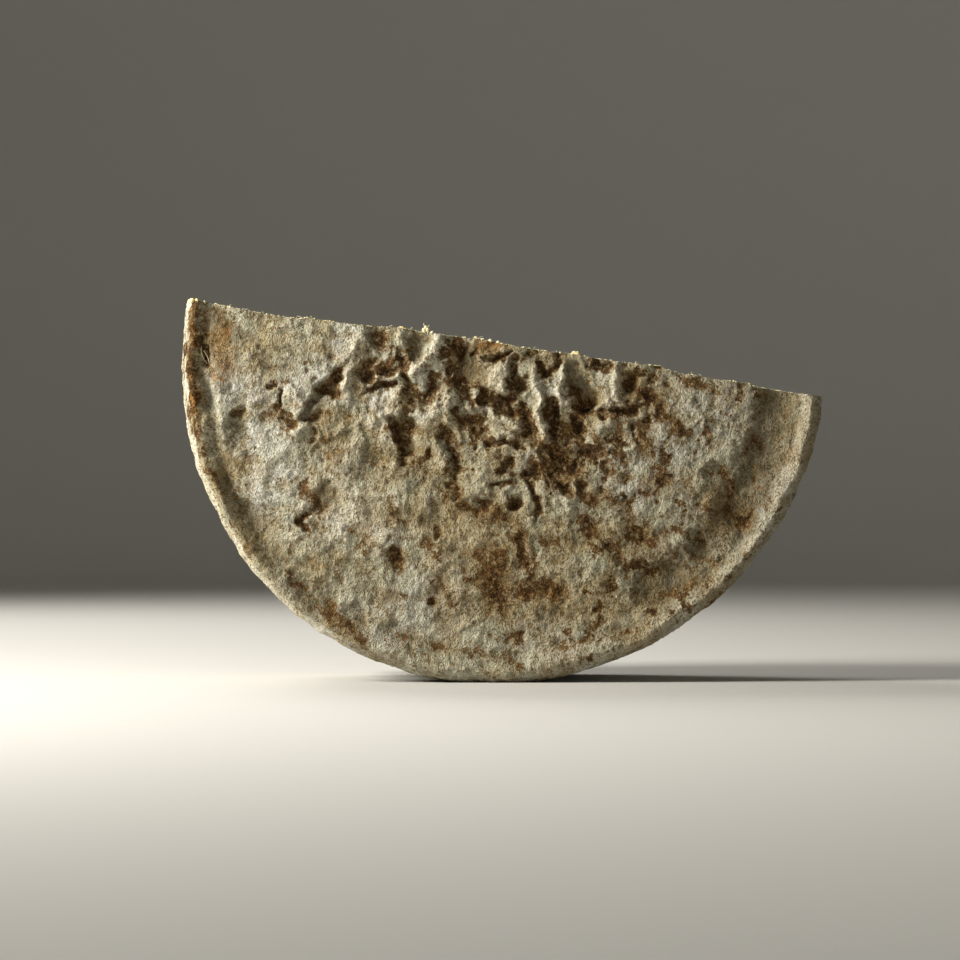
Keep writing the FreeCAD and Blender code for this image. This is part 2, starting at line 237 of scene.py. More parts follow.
# The folds: x and z of both ends, half width, height.
RIDGES = (
    # the long fold that runs down to the left, and what lies beside it
    (-52, 13, -54, 6, 2.6, 1.6), (-54, 6, -57, -5, 2.3, 2.0), (-57, -5, -63, -12, 2.3, 2.0),
    (-63, -12, -70, -21, 2.5, 2.1), (-70, -21, -75, -27, 2.8, 1.6), (-75, -27, -88, -39, 4.5, 0.9),
    (-79, -9, -74, -13, 3.2, 1.3), (-105, -8, -103, -28, 3.2, 0.8),
    # the arch and the knobs right of it
    (-51, -9, -46, -5, 1.5, 1.2), (-46, -5, -39, -5, 1.5, 1.4), (-39, -5, -36, -7, 1.5, 1.0),
    (-38, 12, -37, 5, 2.2, 1.4), (-37, 4, -34, 0, 1.7, 1.3), (-24, 8, -27, 2, 2.1, 1.8),
    (-27, 2, -33, -3, 2.1, 1.7), (-30, -5, -29, -7, 3.0, 1.7), (-38, -11, -40, -17, 2.2, 1.2),
    (-40, -17, -52, -22, 3.4, 1.0), (-28, -21, -20, -16, 3.0, 1.0), (-20, -11, -20, -20, 2.5, 1.1),
    (-43, -20, -42, -30, 3.0, 1.0),
    # the lip and the lobes under the middle of the cut
    (-10, 7, -5, 0, 1.3, 1.3), (0, -3, 1, -7, 4.6, 2.2), (-9, -11, -7, -15, 1.7, 1.5),
    (-7, -15, 0, -20, 1.7, 1.8), (0, -20, 7, -25, 1.9, 1.9), (-2, -24, 4, -27, 3.2, 1.2),
    (12, -2, 13, -8, 2.4, 1.6), (13, -8, 15, -14, 2.1, 2.0), (15, -14, 13, -18, 1.9, 2.0),
    (13, -18, 15, -25, 1.9, 1.9), (15, -25, 17, -29, 1.7, 1.9), (22, -3, 24, -14, 2.2, 1.0),
    (28, 1, 30, -3, 3.0, 1.0), (41, -2, 43, -14, 2.4, 2.0), (38, -6, 40, -13, 4.0, 1.3),
    (43, -15, 36, -16, 1.5, 1.4), (39, -20, 36, -24, 2.8, 1.2), (47, -24, 49, -31, 2.4, 1.0),
    (49, -31, 45, -34, 1.9, 0.8), (10, -31, 14, -36, 1.7, 1.4), (20, -45, 25, -53, 1.9, 1.5),
    (17, -47, 21, -53, 3.6, 0.9), (28, -41, 27, -47, 2.0, 0.9), (9, -44, 11, -50, 2.0, 0.8),
    (-6, -39, -8, -47, 4.0, 1.2), (-22, -30, -20, -42, 3.4, 0.9),
    # the quieter swells lower down and towards the right
    (79, -36, 74, -40, 2.6, 0.9), (74, -40, 73, -46, 2.6, 0.9), (-60, -38, -48, -60, 11.0, 1.2),
    (-85, -45, -75, -52, 6.0, 0.8), (-27, -55, -24, -70, 6.0, 0.6), (-75, -64, -66, -72, 5.0, 0.7),
)
# Hollows whose floors are bare brown rind: the same six numbers, with depth.
BARE_HOLLOWS = (
    (-60, -4, -60, -9, 2.4, 2.2), (-61, -9, -67, -9, 1.5, 1.3), (-64, -19, -70, -21, 1.3, 0.8),
    (-51, -3, -49, -5, 2.0, 1.9), (-48, 1, -51, -2, 1.8, 1.0), (-50, -9, -45, -7, 1.2, 1.6),
    (-45, -7, -40, -7, 1.1, 1.5), (-37, -5, -33, -8, 1.8, 1.7), (-44, -3, -41, -3, 1.8, 1.6),
    (-36, 4, -36, 2, 2.7, 1.6), (-47, 11, -45, 8, 2.2, 1.2), (-22, 6, -19, 4, 2.4, 1.2),
    (-18, 8, -15, 6, 2.2, 1.1), (-18, 0, -17, -2, 2.0, 1.0), (-26, -8, -23, -10, 2.6, 1.4),
    (-26, -12, -27, -13, 2.4, 1.5), (-34, -10, -31, -12, 2.5, 1.4), (-14, -8, -12, -9, 3.0, 1.5),
    (-14, -12, -11, -13, 2.6, 1.2), (-9, 5, -6, 2, 1.0, 2.2), (-6, 2, 1, 2, 1.1, 2.4),
    (1, 2, 4, 5, 1.0, 2.2), (5, 0, 7, -9, 2.2, 2.3), (4, -6, 4, -8, 1.8, 1.5),
    (-5, -12, 4, -13, 2.6, 1.6), (-3, -17, 8, -17, 2.9, 2.3), (8, -19, 9, -24, 2.2, 1.8),
    (-13, -20, -8, -21, 2.8, 1.3), (17, -13, 20, -13, 1.6, 1.8), (18, -14, 19, -22, 2.4, 2.2),
    (19, -22, 18, -29, 1.9, 1.9), (16, -1, 17, -3, 1.3, 1.5), (17, -3, 22, -1, 1.6, 1.8),
    (26, -8, 30, -12, 2.2, 1.9), (30, -14, 34, -16, 2.6, 2.0), (28, -20, 29, -23, 2.1, 1.6),
    (34, 0, 40, -1, 1.4, 1.2), (47, -8, 49, -4, 1.7, 1.0), (51, -2, 55, -4, 1.7, 0.8),
    (38, -17, 48, -18, 2.0, 1.6), (48, -16, 54, -16, 1.2, 0.7), (55, -11, 56, -12, 2.1, 0.8),
    (49, -23, 49, -26, 1.8, 0.8), (31, -32, 37, -33, 2.1, 1.2), (37, -37, 40, -39, 1.9, 1.0),
    (42, -33, 45, -35, 1.8, 0.8), (17, -32, 20, -34, 3.2, 1.6), (21, -37, 27, -38, 4.2, 2.4),
    (20, -41, 23, -46, 2.4, 1.8), (16, -37, 17, -42, 2.6, 1.0), (11, -41, 13, -43, 3.0, 1.5),
    (12, -45, 12, -50, 1.0, 1.8), (13, -50, 13, -58, 1.0, 1.2), (6, -52, 6, -52, 2.1, 2.0),
    (13, -56, 13, -56, 1.6, 1.5), (29, -45, 31, -46, 2.0, 1.0), (-21, -26, -19, -27, 2.2, 1.2),
    (-18, -29, -16, -33, 1.8, 1.6), (-16, -34, -16, -39, 2.2, 1.8), (-17, -41, -18, -46, 2.0, 1.4),
    (-17, -46, -16, -50, 1.9, 1.4), (-7, -24, -5, -28, 1.2, 1.2), (-5, -29, 2, -29, 1.2, 1.2),
    (4, -29, 8, -31, 1.4, 1.0), (0, -39, 3, -37, 1.5, 1.2), (-3, -45, 3, -45, 1.2, 0.9),
    (-7, -51, -4, -52, 2.0, 1.0), (-14, -54, -9, -55, 1.8, 0.8), (-40, -20, -38, -27, 1.5, 1.8),
    (-37, -31, -36, -37, 1.6, 1.3), (-82, -9, -81, -16, 0.8, 1.8), (-86, -9, -84, -8, 1.2, 0.8),
    (-82, -17, -78, -19, 1.8, 1.1), (-80, -22, -75, -24, 1.7, 0.7), (-98, -18, -95, -18, 1.5, 1.0),
    (-68, -25, -69, -29, 1.3, 0.9), (-72, -55, -74, -58, 1.4, 1.5), (-74, -58, -72, -61, 1.3, 1.3),
    (88, -57, 90, -59, 2.6, 0.6), (84, -45, 85, -45, 1.8, 0.6), (52, -61, 54, -64, 1.9, 0.9),
    (43, -72, 44, -73, 1.9, 0.8), (41, -68, 42, -69, 1.2, 0.7), (-40, -70, -37, -74, 2.2, 1.0),
    (7, -65, 8, -69, 1.6, 0.8), (8, -71, 9, -73, 1.3, 0.9), (-3, -82, 2, -86, 2.8, 0.9),
    (-24, -62, -23, -65, 1.3, 0.8), (-25, -87, -24, -88, 1.3, 0.7), (-111.5, 9, -109.5, 0, 1.4, 1.4),
)
# Hollows that the mould has grown over, whose floors also take painted shade.
SOFT_HOLLOWS = (
    (-64, -9, -69, -19, 3.4, 2.2), (-54, 4, -60, -4, 1.8, 1.0), (-31, 9, -31, 3, 2.8, 1.6),
    (-12, 5, -12, -3, 3.2, 2.0), (28, -4, 33, -13, 3.2, 1.7),
    (-36, -22, -33, -22, 2.8, 1.8), (-35, -25, -34, -31, 2.6, 1.4), (-98, -22, -97, -27, 3.8, 1.1),
    (-64, -47, -67, -52, 3.4, 1.3), (88, -56, 92, -60, 6.0, 1.2), (57, -83, 62, -82, 7.0, 1.3),
    (74, -69, 75, -71, 4.0, 0.8), (-42, -101, -36, -102, 4.5, 0.9), (-84, -68, -83, -74, 4.0, 0.7),
    (-76, -79, -73, -82, 3.2, 0.7), (-66, -84, -64, -87, 3.6, 0.8), (-56, -92, -53, -97, 4.0, 1.0),
    (103, -16, 100, -26, 5.0, 0.7), (97, -30, 94, -50, 6.0, 0.8), (-94, -56, -88, -60, 5.0, 0.9),
    (-46, -30, -50, -38, 4.0, 0.7), (-58, -28, -66, -34, 2.6, 0.8), (-22, -46, -26, -58, 4.0, 0.7),
)
# Rust, where the rind shows through orange: the last number is its strength.
RUST = (
    (-105, 14, -103, 0, 5.0, 0.8), (-114.5, 20, -115, 8, 2.0, 1.0), (-115.5, -2, -115, -8, 1.6, 0.9),
    (-115, -11, -114, -17, 2.2, 1.0), (-7, 7, 1, 7, 3.0, 1.0), (-93, 18, -90, 18, 1.4, 0.5),
    (-31, 10, -29, 10, 1.6, 0.5), (-18, 2, -17, 0, 2.2, 0.6), (36, 1, 40, 0, 1.6, 0.5),
    (19, -31, 21, -36, 4.2, 0.8), (15, -36, 18, -40, 3.4, 0.6), (51, -29, 52, -32, 2.2, 0.7),
    (64, -21, 66, -26, 2.8, 0.4), (48, -5, 46, -8, 1.8, 0.5), (-58, -32, -62, -36, 2.8, 0.5),
    (-50, -63, -48, -68, 2.8, 0.5), (76, -50, 78, -58, 6.0, 0.35), (-1, -72, 0, -74, 4.0, 0.6),
    (-8, -80, 2, -82, 3.4, 0.7), (8, -85, 20, -85, 3.2, 0.6), (-2, -85, 2, -93, 3.0, 0.5),
    (34, -58, 38, -63, 3.0, 0.4), (53, -61, 55, -65, 2.4, 0.7), (56, -66, 61, -67, 1.8, 0.5),
    (-39, -71, -37, -74, 2.6, 0.6), (-64, -93, -51, -104, 2.0, 0.5), (86, -60, 82, -62, 5.0, 0.45),
    (55, -46, 62, -44, 5.0, 0.4), (70, -80, 76, -84, 3.6, 0.5), (-79, -16, -76, -16, 1.6, 0.6),
    (-16, -56, -2, -56, 3.0, 0.5), (30, -47, 37, -49, 3.2, 0.5), (-26, -72, -20, -84, 5.0, 0.35),
    (5, -60, 8, -70, 2.0, 0.6), (50, -98, 60, -93, 4.0, 0.4), (112, -32, 103, -38, 4.0, 0.4),
    (-41, -50, -42, -60, 2.0, 0.4), (43, -72, 44, -73, 2.6, 0.4), (92, -30, 96, -50, 6.0, 0.15),
)
# Grime and bare brown rind that lie level with the mould, and a few rows of painted shade on the right: the
# last number is its strength.
GRIME_AND_SHADE = (
    (-113.5, 21, -114, 8, 2.4, 0.9), (-115, 6, -115.5, -4, 2.4, 1.0), (-115, -4, -114, -18, 2.2, 0.9),
    # the second row below is painted shade, darker brown low on the right
    (-114, -18, -112.5, -26, 1.8, 0.8), (56, -72, 78, -74, 6.0, 0.45),
    (-86, -18, -74, -25, 3.6, 0.55), (-80, -6, -76, -12, 2.4, 0.45),
    (-114, -20, -110, -32, 1.8, 0.6), (-109, -36, -104, -48, 1.8, 0.5), (-101, -58, -92, -70, 1.6, 0.5),
    (-112, 19, -110.5, 9, 1.8, 0.6), (-46, -2, -38, 3, 1.6, 0.75), (-30, -12, -24, -10, 2.4, 0.75),
    (-16, -6, -10, -14, 2.8, 0.75), (-16, -19, -8, -24, 2.6, 0.8), (22, -34, 28, -41, 4.0, 0.9),
    (12, -38, 18, -44, 2.6, 0.75), (30, -48, 36, -52, 2.8, 0.6), (-20, -50, -8, -56, 3.0, 0.65),
    (34, -26, 38, -32, 1.5, 0.65), (44, -24, 50, -30, 2.2, 0.6), (52, -24, 56, -34, 2.2, 0.65),
    (38, -38, 46, -42, 2.2, 0.65), (52, -11, 60, -17, 2.4, 0.75), (62, -20, 67, -26, 2.8, 0.8),
    (77, -24, 78, -30, 2.0, 0.55), (70, -7, 80, -10, 2.8, 0.6), (58, -38, 62, -46, 2.4, 0.6),
    # the second and third rows below are painted shade in the valley inside the right crest
    (87, -56, 91, -59, 3.4, 0.8), (92, -30, 97, -48, 5.5, 0.3), (104, -14, 108, -24, 4.0, 0.28),
    (70, -44, 79, -57, 3.4, 0.45), (66, -59, 75, -68, 2.0, 0.45), (53, -61, 55, -66, 2.8, 0.85),
    (58, -65, 66, -60, 1.8, 0.6), (40, -50, 48, -56, 3.2, 0.55), (30, -57, 37, -63, 2.8, 0.75),
    (33, -66, 36, -69, 2.0, 0.65), (41, -67, 44, -73, 2.2, 0.7), (0, -54, 4, -61, 2.4, 0.65),
    (5, -60, 9, -72, 2.6, 0.8), (9, -74, 11, -80, 2.4, 0.8), (-6, -72, 0, -74, 3.8, 0.75),
    (-10, -80, -4, -78, 3.8, 0.65), (-3, -79, 0, -89, 5.2, 0.9), (5, -84, 20, -84, 3.6, 0.8),
    (-41, -50, -41, -61, 2.0, 0.6), (-54, -62, -50, -68, 2.8, 0.6), (-28, -66, -24, -72, 2.4, 0.6),
    (-22, -80, -18, -88, 2.6, 0.55), (-64, -92, -52, -104, 2.8, 0.7), (-80, -78, -70, -88, 2.0, 0.5),
    (-60, -32, -64, -38, 2.8, 0.65), (-56, -44, -60, -50, 3.2, 0.5), (-73, -48, -66, -55, 2.8, 0.65),
    (58, -88, 72, -82, 2.6, 0.6), (-38, -102, 4, -110, 2.2, 0.45), (20, -106, 44, -100, 2.0, 0.45),
)
# Where the mould stands thick and cold white.
BLOOM = (
    (-66, -4, -63, -6, 5.0, 1.0), (-78, -9, -74, -14, 4.2, 1.0), (-104, -6, -92, -14, 7.0, 0.7),
    (-92, -26, -85, -30, 6.0, 0.9), (-82, -42, -88, -50, 7.0, 0.8), (-58, 8, -57, 12, 4.0, 0.8),
    (-46, -11, -46, -17, 3.6, 0.8), (-30, -4, -28, -8, 3.4, 0.7), (-24, 4, -24, 8, 2.4, 0.7),
    (-66, -57, -60, -58, 6.0, 0.6), (-45, -98, -30, -90, 10.0, 0.5), (104, -44, 99, -58, 4.0, 0.9),
    (60, -30, 72, -16, 11.0, 0.5), (44, -40, 50, -46, 6.0, 0.6), (-40, -65, -45, -66, 4.0, 0.7),
    (76, -12, 92, -20, 8.0, 0.5), (10, -104, 30, -106, 6.0, 0.4), (22, -6, 21, -10, 2.6, 0.6),
    (-26, -16, -30, -18, 3.0, 0.6), (7, -34, 8, -37, 3.0, 0.5), (-60, 13, -48, 12, 3.0, 0.5),
)

WARP, LUMPS, CREASES, NAP, BLOTCH = Curd(11), Curd(23), Curd(37), Curd(41), Curd(53)


def crest_wander(angle, far):
    """How far the crest strays outwards from its even curve."""
    x, z = (WHEEL_RADIUS - CREST_INSET) * np.cos(angle), (WHEEL_RADIUS - CREST_INSET) * np.sin(angle)
    return 1.7 * LUMPS.cloud(x, 330.0 if far else 200.0, z, 13.0, 3)


def edge_lumps(x, y, z):
    """Small lumps that roughen the crest, over both the face and the rim."""
    return 0.6 * LUMPS.cloud(x + 160, y, z, 5.0, 3, 0.6)


def face_lift(x, z, far):
    """How far the rind stands off the plane of its crest, and where its finishes lie, painted shade and
    painted highlight among them.

    The far face has the same kinds of fold, mirrored and set lower down.
    """
    inward = outline(np.arctan2(z, x)) - CREST_INSET - np.hypot(x, z)
    # each face reads the noise at its own depth, and each use of it a little apart
    bend = 130.0 if far else 0.0
    uneven = inward * (1.0 + 0.45 * LUMPS.cloud(x, bend + 90, z, 24.0, 2))
    uneven += 2.4 * ramp(inward, 0.0, 3.0) * LUMPS.cloud(x, bend + 95, z, 10.0, 3)
    right = ramp(-x if far else x, 25.0, 95.0)
    inside = ramp(uneven * (1.0 + 0.7 * right), 0.0, SINK_RUN)
    warp_x = 2.2 * WARP.cloud(x, bend, z, 7.0, 3, 0.6) + 1.2 * WARP.cloud(x, bend + 40, z, 24.0, 1)
    warp_z = 2.2 * WARP.cloud(x, bend + 20, z, 7.0, 3, 0.6) + 1.2 * WARP.cloud(x, bend + 60, z, 24.0, 1)
    place_x = (-x if far else x) + warp_x + 0.7 * WARP.cloud(x, bend + 80, z, 2.8, 2)
    place_z = (z + FAR_SHIFT if far else z) + warp_z + 0.7 * WARP.cloud(x, bend + 85, z, 2.8, 2)
    # the ground: sunk inside the crest, with a broken groove beside it, deeper on the left
    left = ramp(-place_x, 0.0, 105.0)
    patchy = np.clip(0.9 + 1.1 * LUMPS.cloud(x, bend + 120, z, 19.0, 2), 0.0, 1.7)
    groove = np.exp(-((uneven - 4.2) / 3.1) ** 2) * (0.15 + left * patchy) * ramp(inward, 0.0, 1.5)
    lift = CREST_SLOPE * inward * np.exp(-inward / 2.4) - FACE_SINK * inside - 1.8 * groove
    # on the right a broad valley, whose far side climbs steeply to the crest
    valley = np.exp(-((uneven - 14.5) / 7.5) ** 2) * right
    lift -= 1.7 * valley
    # slow waves and lumps of the curd under the rind, and the felt's own small wrinkles
    most = 0.75 + 0.25 * inside
    swell = most * 1.35 * LUMPS.cloud(x, bend + 7, z, 9.0, 3, 0.55)
    swell -= most * 0.9 * (np.abs(CREASES.cloud(x, bend + 15, z, 6.5, 3, 0.55)) - 0.15)
    # the crumpled zone below the cut, where lobes stand up between creases
    crumpled = np.exp(-((place_x + 4.0) / 60.0) ** 2 - ((place_z + 14.0) / 34.0) ** 2)
    lobes = CREASES.cloud(place_x, bend, 0.55 * place_z, 9.0, 3)
    creases = ramp(lobes, 0.10, -0.26)
    swell -= inside * crumpled * 1.3 * (creases - 0.3)
    lift += swell + inside * 0.9 * LUMPS.cloud(x, bend, z, 26.0, 2)
    lift += (1.0 - inside) * edge_lumps(x, CREST_Y * (1 if far else -1), z)
    ridges = inside * raised(place_x, place_z, RIDGES)
    ragged = LUMPS.cloud(x, bend + 3, z, 5.0, 2)
    hollow = inside * sunk(place_x, place_z, BARE_HOLLOWS, 0.3 * ragged)
    soft = inside * sunk(place_x, place_z, SOFT_HOLLOWS, 0.2 * LUMPS.cloud(x, bend + 3, z, 8.0, 2))
    lift += ridges - 0.9 * hollow - 1.15 * soft
    # the finishes follow the relief: low places are bare and brown and take painted shade, high ones take a
    # pale painted highlight
    low = ramp(swell + 0.5 * ridges, 0.1, -0.75)
    fray = BLOTCH.cloud(x, bend + 70, z, 5.5, 5, 0.7)
    stains = [row[:5] + (0.62 + 0.24 * row[5],) for row in BARE_HOLLOWS]
    speckled = 0.35 + 0.5 * crumpled + 0.5 * ramp(place_x, -20.0, 50.0) * ramp(place_x, 120.0, 60.0)
    dust = ramp(BLOTCH.cloud(x, bend, z, 8.0, 5, 0.72) + 0.35 * (low - 0.3), -0.02, 0.34)
    grime_and_shade = spread(place_x, place_z, GRIME_AND_SHADE, 0.8 * fray)
    bare = np.maximum(spread(place_x, place_z, stains, 0.4 * ragged + 0.95 * fray), grime_and_shade)
    finishes = {
        "bare": np.maximum(bare - 0.25 * ramp(ridges, 0.3, 1.2), dust * np.minimum(speckled, 0.85)),
        "rust": spread(place_x, place_z, RUST, 0.8 * fray),
        "bloom": spread(place_x, place_z, BLOOM, 0.8 * fray),
        # painted shade: darker in the soft hollows, the groove, low places and the right valley, and over
        # the right side away from the light, darkest on its outer band
        "shade": 0.75 * soft + 0.3 * groove * patchy + 0.55 * low + 0.6 * valley
        + right * (0.25 + 0.6 * ramp(inward, 0.5, -3.5)),
        # painted highlight: paler on ridges, swells and the crest away from the left, and on the lit inner
        # slope of the right crest
        "worn": 0.45 * ridges + 0.6 * ramp(swell, 0.1, 0.9) + 0.5 * ramp(inward, 3.0, -3.0) * (1.0 - left)
        + right * (0.85 + 0.5 * ragged) * np.exp(-((inward - 1.8) / 2.4) ** 2),
    }
    return lift, {name: np.clip(value, 0.0, 1.0) for name, value in finishes.items()}


def nap(x, y, z):
    """The felted grain of the mould, all over the rind."""
    return 0.36 * NAP.cloud(x, y, z, 2.2, 3, 0.7)


def face_points(x, z, far):
    """Points of a rind face over these places, and its finishes there."""
    lift, finishes = face_lift(x, z, far)
    lift = lift + nap(x, CREST_Y * (1 if far else -1), z)
    radius, angle = np.hypot(x, z), np.arctan2(z, x)
    inward = outline(angle) - CREST_INSET - radius
    # towards the crest the skin leans outwards, so its relief does too
    tilt = CREST_SLOPE * ramp(inward, SINK_RUN, 0.0)
    share = lift / np.hypot(1.0, tilt)
    y = np.minimum(CREST_Y + share, OUTER_Y)
    out = 1 + (tilt * share + crest_wander(angle, far) * np.exp(-(inward / WANDER_RUN) ** 2)) / radius
    return np.stack([x * out, y if far else -y, z * out], 1), finishes


# The cut: its strokes from left to right, each with its width and both heights.
KNIFE_STROKES = (
    (15.0, 0.3, -0.3), (30.0, -0.4, -0.9), (34.0, -0.2, 1.0), (28.0, 1.3, 1.5),
    (36.0, 1.6, 1.2), (31.0, 1.1, 1.7), (32.0, 0.8, 0.2), (30.0, -0.6, 0.0),
)
STROKE_RADIUS, TORN_RUN, CUT_START = 260.0, 1.4, -122.0
CUT_ENDS = np.radians([169.5, 354.0])  # about where the cut meets the wheel's outline


def stroke_edges():
    """Where each torn step between two strokes begins, along the cut."""
    edges, along = [], CUT_START
    for width, _, _ in KNIFE_STROKES[:-1]:
        along += width
        edges.append(along)
        along += TORN_RUN
    return edges


def stroke_heights(along):
    """The knife's hollow strokes, seen end on, in height above the cut's plane."""
    knots, heights, start = [], [], CUT_START
    for width, enters, leaves in KNIFE_STROKES:
        for share in np.linspace(0.0, 1.0, 9):
            sag = 4.0 * share * (1.0 - share) * width ** 2 / 8.0 / STROKE_RADIUS
            knots.append(start + share * width)
            heights.append(enters + share * (leaves - enters) - sag)
        start += width + TORN_RUN
    return np.interp(along, knots, heights)


TEAR, CRUMB = Curd(67), Curd(71)


def cut_surface(x, y):
    """Height of the cut over the plan, and how torn and how pitted it is."""
    along = x / math.cos(CUT_LEAN) - CUT_OFFSET * math.tan(CUT_LEAN)
    wander = 2.2 * TEAR.cloud(along * 0.25, y, 3.0, 16.0, 3)
    height = stroke_heights(along + wander)
    torn = np.zeros_like(x)
    for number, edge in enumerate(stroke_edges()):
        broad = 3.4 + 2.6 * TEAR.cloud(number * 31.0, y, 50.0, 14.0, 2)
        near = np.exp(-((along + wander - edge - 0.5) / np.maximum(broad, 0.8)) ** 2)
        torn = np.maximum(torn, near * ramp(TEAR.cloud(number * 17.0, y, 80.0, 11.0, 2), -0.5, 0.15))
    # two clumps that tore away with the knife
    for clump_x, clump_y, reach_x, reach_y in ((42.0, 18.0, 13.0, 15.0), (-66.0, 26.0, 8.0, 7.0)):
        near = np.hypot((x - clump_x) / reach_x, (y - clump_y) / reach_y)
        torn = np.maximum(torn, ramp(near + 0.5 * TEAR.cloud(x, y, 9.0, 7.0, 3), 1.1, 0.5))
    clear = 0.15 + 0.85 * ramp(CREST_Y - 2.0 - np.abs(y), 0.0, 7.0)
    torn *= clear
    # torn curd stands in lumps with sharp creases; elsewhere it is flaky in places
    lumps = np.abs(TEAR.cloud(x, y, 21.0, 6.0, 4, 0.6))
    crumb = CRUMB.cloud(x, y, 40.0, 2.2, 3, 0.65)
    crumbly = 0.2 + 0.8 * ramp(TEAR.cloud(x, y, 60.0, 24.0, 3), -0.15, 0.25)
    cracks = ramp(np.abs(CRUMB.cloud(0.8 * x, y, 160.0, 3.4, 3, 0.6)), 0.11, 0.0)
    height += torn * (4.2 * lumps - 0.5 + 0.5 * crumb)
    height += crumbly * (0.25 * crumb - 0.2 * clear * cracks)
    # holes beside the tears, and small slits near the rind, whose walls take painted shade
    holes = ramp(CRUMB.cloud(x, y, 90.0, 4.0, 3, 0.6), 0.20, 0.42) * ramp(torn, 0.2, 0.6)
    slits = ramp(CRUMB.cloud(0.45 * x, y, 120.0, 1.7, 2), 0.50, 0.64) * clear
    height -= 2.0 * holes + 0.7 * slits
    pitted = np.maximum(holes, 0.8 * slits)
    level = (CUT_OFFSET + height - x * math.sin(CUT_LEAN)) / math.cos(CUT_LEAN)
    return np.minimum(level, CUT_TOP), {"torn": torn, "pitted": pitted}


def settle_on_cut(points_at, guess, slope):
    """Moves each guess until its point lies on the cut."""
    for _ in range(6):
        spot = points_at(guess)
        guess = guess - (spot[:, 2] - cut_surface(spot[:, 0], spot[:, 1])[0]) / slope
    return guess


def crest_row(far, count):
    """Places of the crest from the left end of the cut, round below, to the right end."""
    def points_at(angles):
        reach = outline(angles) - CREST_INSET
        return face_points(reach * np.cos(angles), reach * np.sin(angles), far)[0]

    ends = settle_on_cut(points_at, CUT_ENDS, WHEEL_RADIUS * np.cos(CUT_ENDS))
    angles = np.linspace(ends[0], ends[1], count)
    reach = outline(angles) - CREST_INSET
    return angles, reach * np.cos(angles), reach * np.sin(angles)


def shaken_grid(lowest, highest, pitch, shake, draw):
    """An even three-way grid across the wheel, shaken a little so that no rows show."""
    row_x = np.arange(-WHEEL_RADIUS, WHEEL_RADIUS, pitch)
    rows = np.arange(lowest, highest, pitch * math.sqrt(0.75))
    grid_x, grid_up = np.meshgrid(row_x, rows)
    grid_x = grid_x + (np.arange(len(rows)) % 2)[:, None] * pitch / 2
    grid_x = grid_x + draw.normal(0.0, shake * pitch, grid_x.shape)
    return grid_x, grid_up + draw.normal(0.0, shake * pitch, grid_up.shape)


CUT_PITCH = 0.5
Sheet = namedtuple("Sheet", "spots finishes faces edge_count angles")


def face_sheet(far, count, pitch, seed):
    """One rind face, whose edge runs round the crest first and then back along the cut."""
    angles, crest_x, crest_z = crest_row(far, count)
    steps = int(abs(crest_x[-1] - crest_x[0]) / CUT_PITCH)
    cut_x = np.linspace(crest_x[-1], crest_x[0], steps)[1:-1]
    straight_cut = CUT_OFFSET - CUT_FALL * cut_x
    cut_z = settle_on_cut(lambda z: face_points(cut_x, z, far)[0], straight_cut, 1.0)
    edge = np.stack([np.append(crest_x, cut_x), np.append(crest_z, cut_z)], 1)
    lowest, highest = -WHEEL_RADIUS, 0.3 * WHEEL_RADIUS
    grid_x, grid_z = shaken_grid(lowest, highest, pitch, 0.06, np.random.default_rng(seed))
    clear = 0.6 * pitch
    below_cut = grid_z < np.interp(grid_x, cut_x[::-1], cut_z[::-1]) - clear
    in_crest = np.hypot(grid_x, grid_z) < outline(np.arctan2(grid_z, grid_x)) - CREST_INSET - clear
    keep = below_cut & in_crest
    plan = np.vstack([edge, np.stack([grid_x[keep], grid_z[keep]], 1)])
    spots, finishes = face_points(plan[:, 0], plan[:, 1], far)
    return Sheet(spots, finishes, triangles_over(plan, len(edge)), len(edge), angles)


def triangles_over(plan, edge_count):
    """Joins flat points into triangles inside the loop of the first ones."""
    corners = [Vector(pair) for pair in plan.tolist()]
    sides = [(number, (number + 1) % edge_count) for number in range(edge_count)]
    found = geometry.delaunay_2d_cdt(corners, sides, [], 1, 1e-6)
    if len(found[0]) != len(plan):
        raise ValueError("the edge of a sheet crosses itself")
    order = np.array([source[0] for source in found[3]])
    return order[np.array(found[2])]


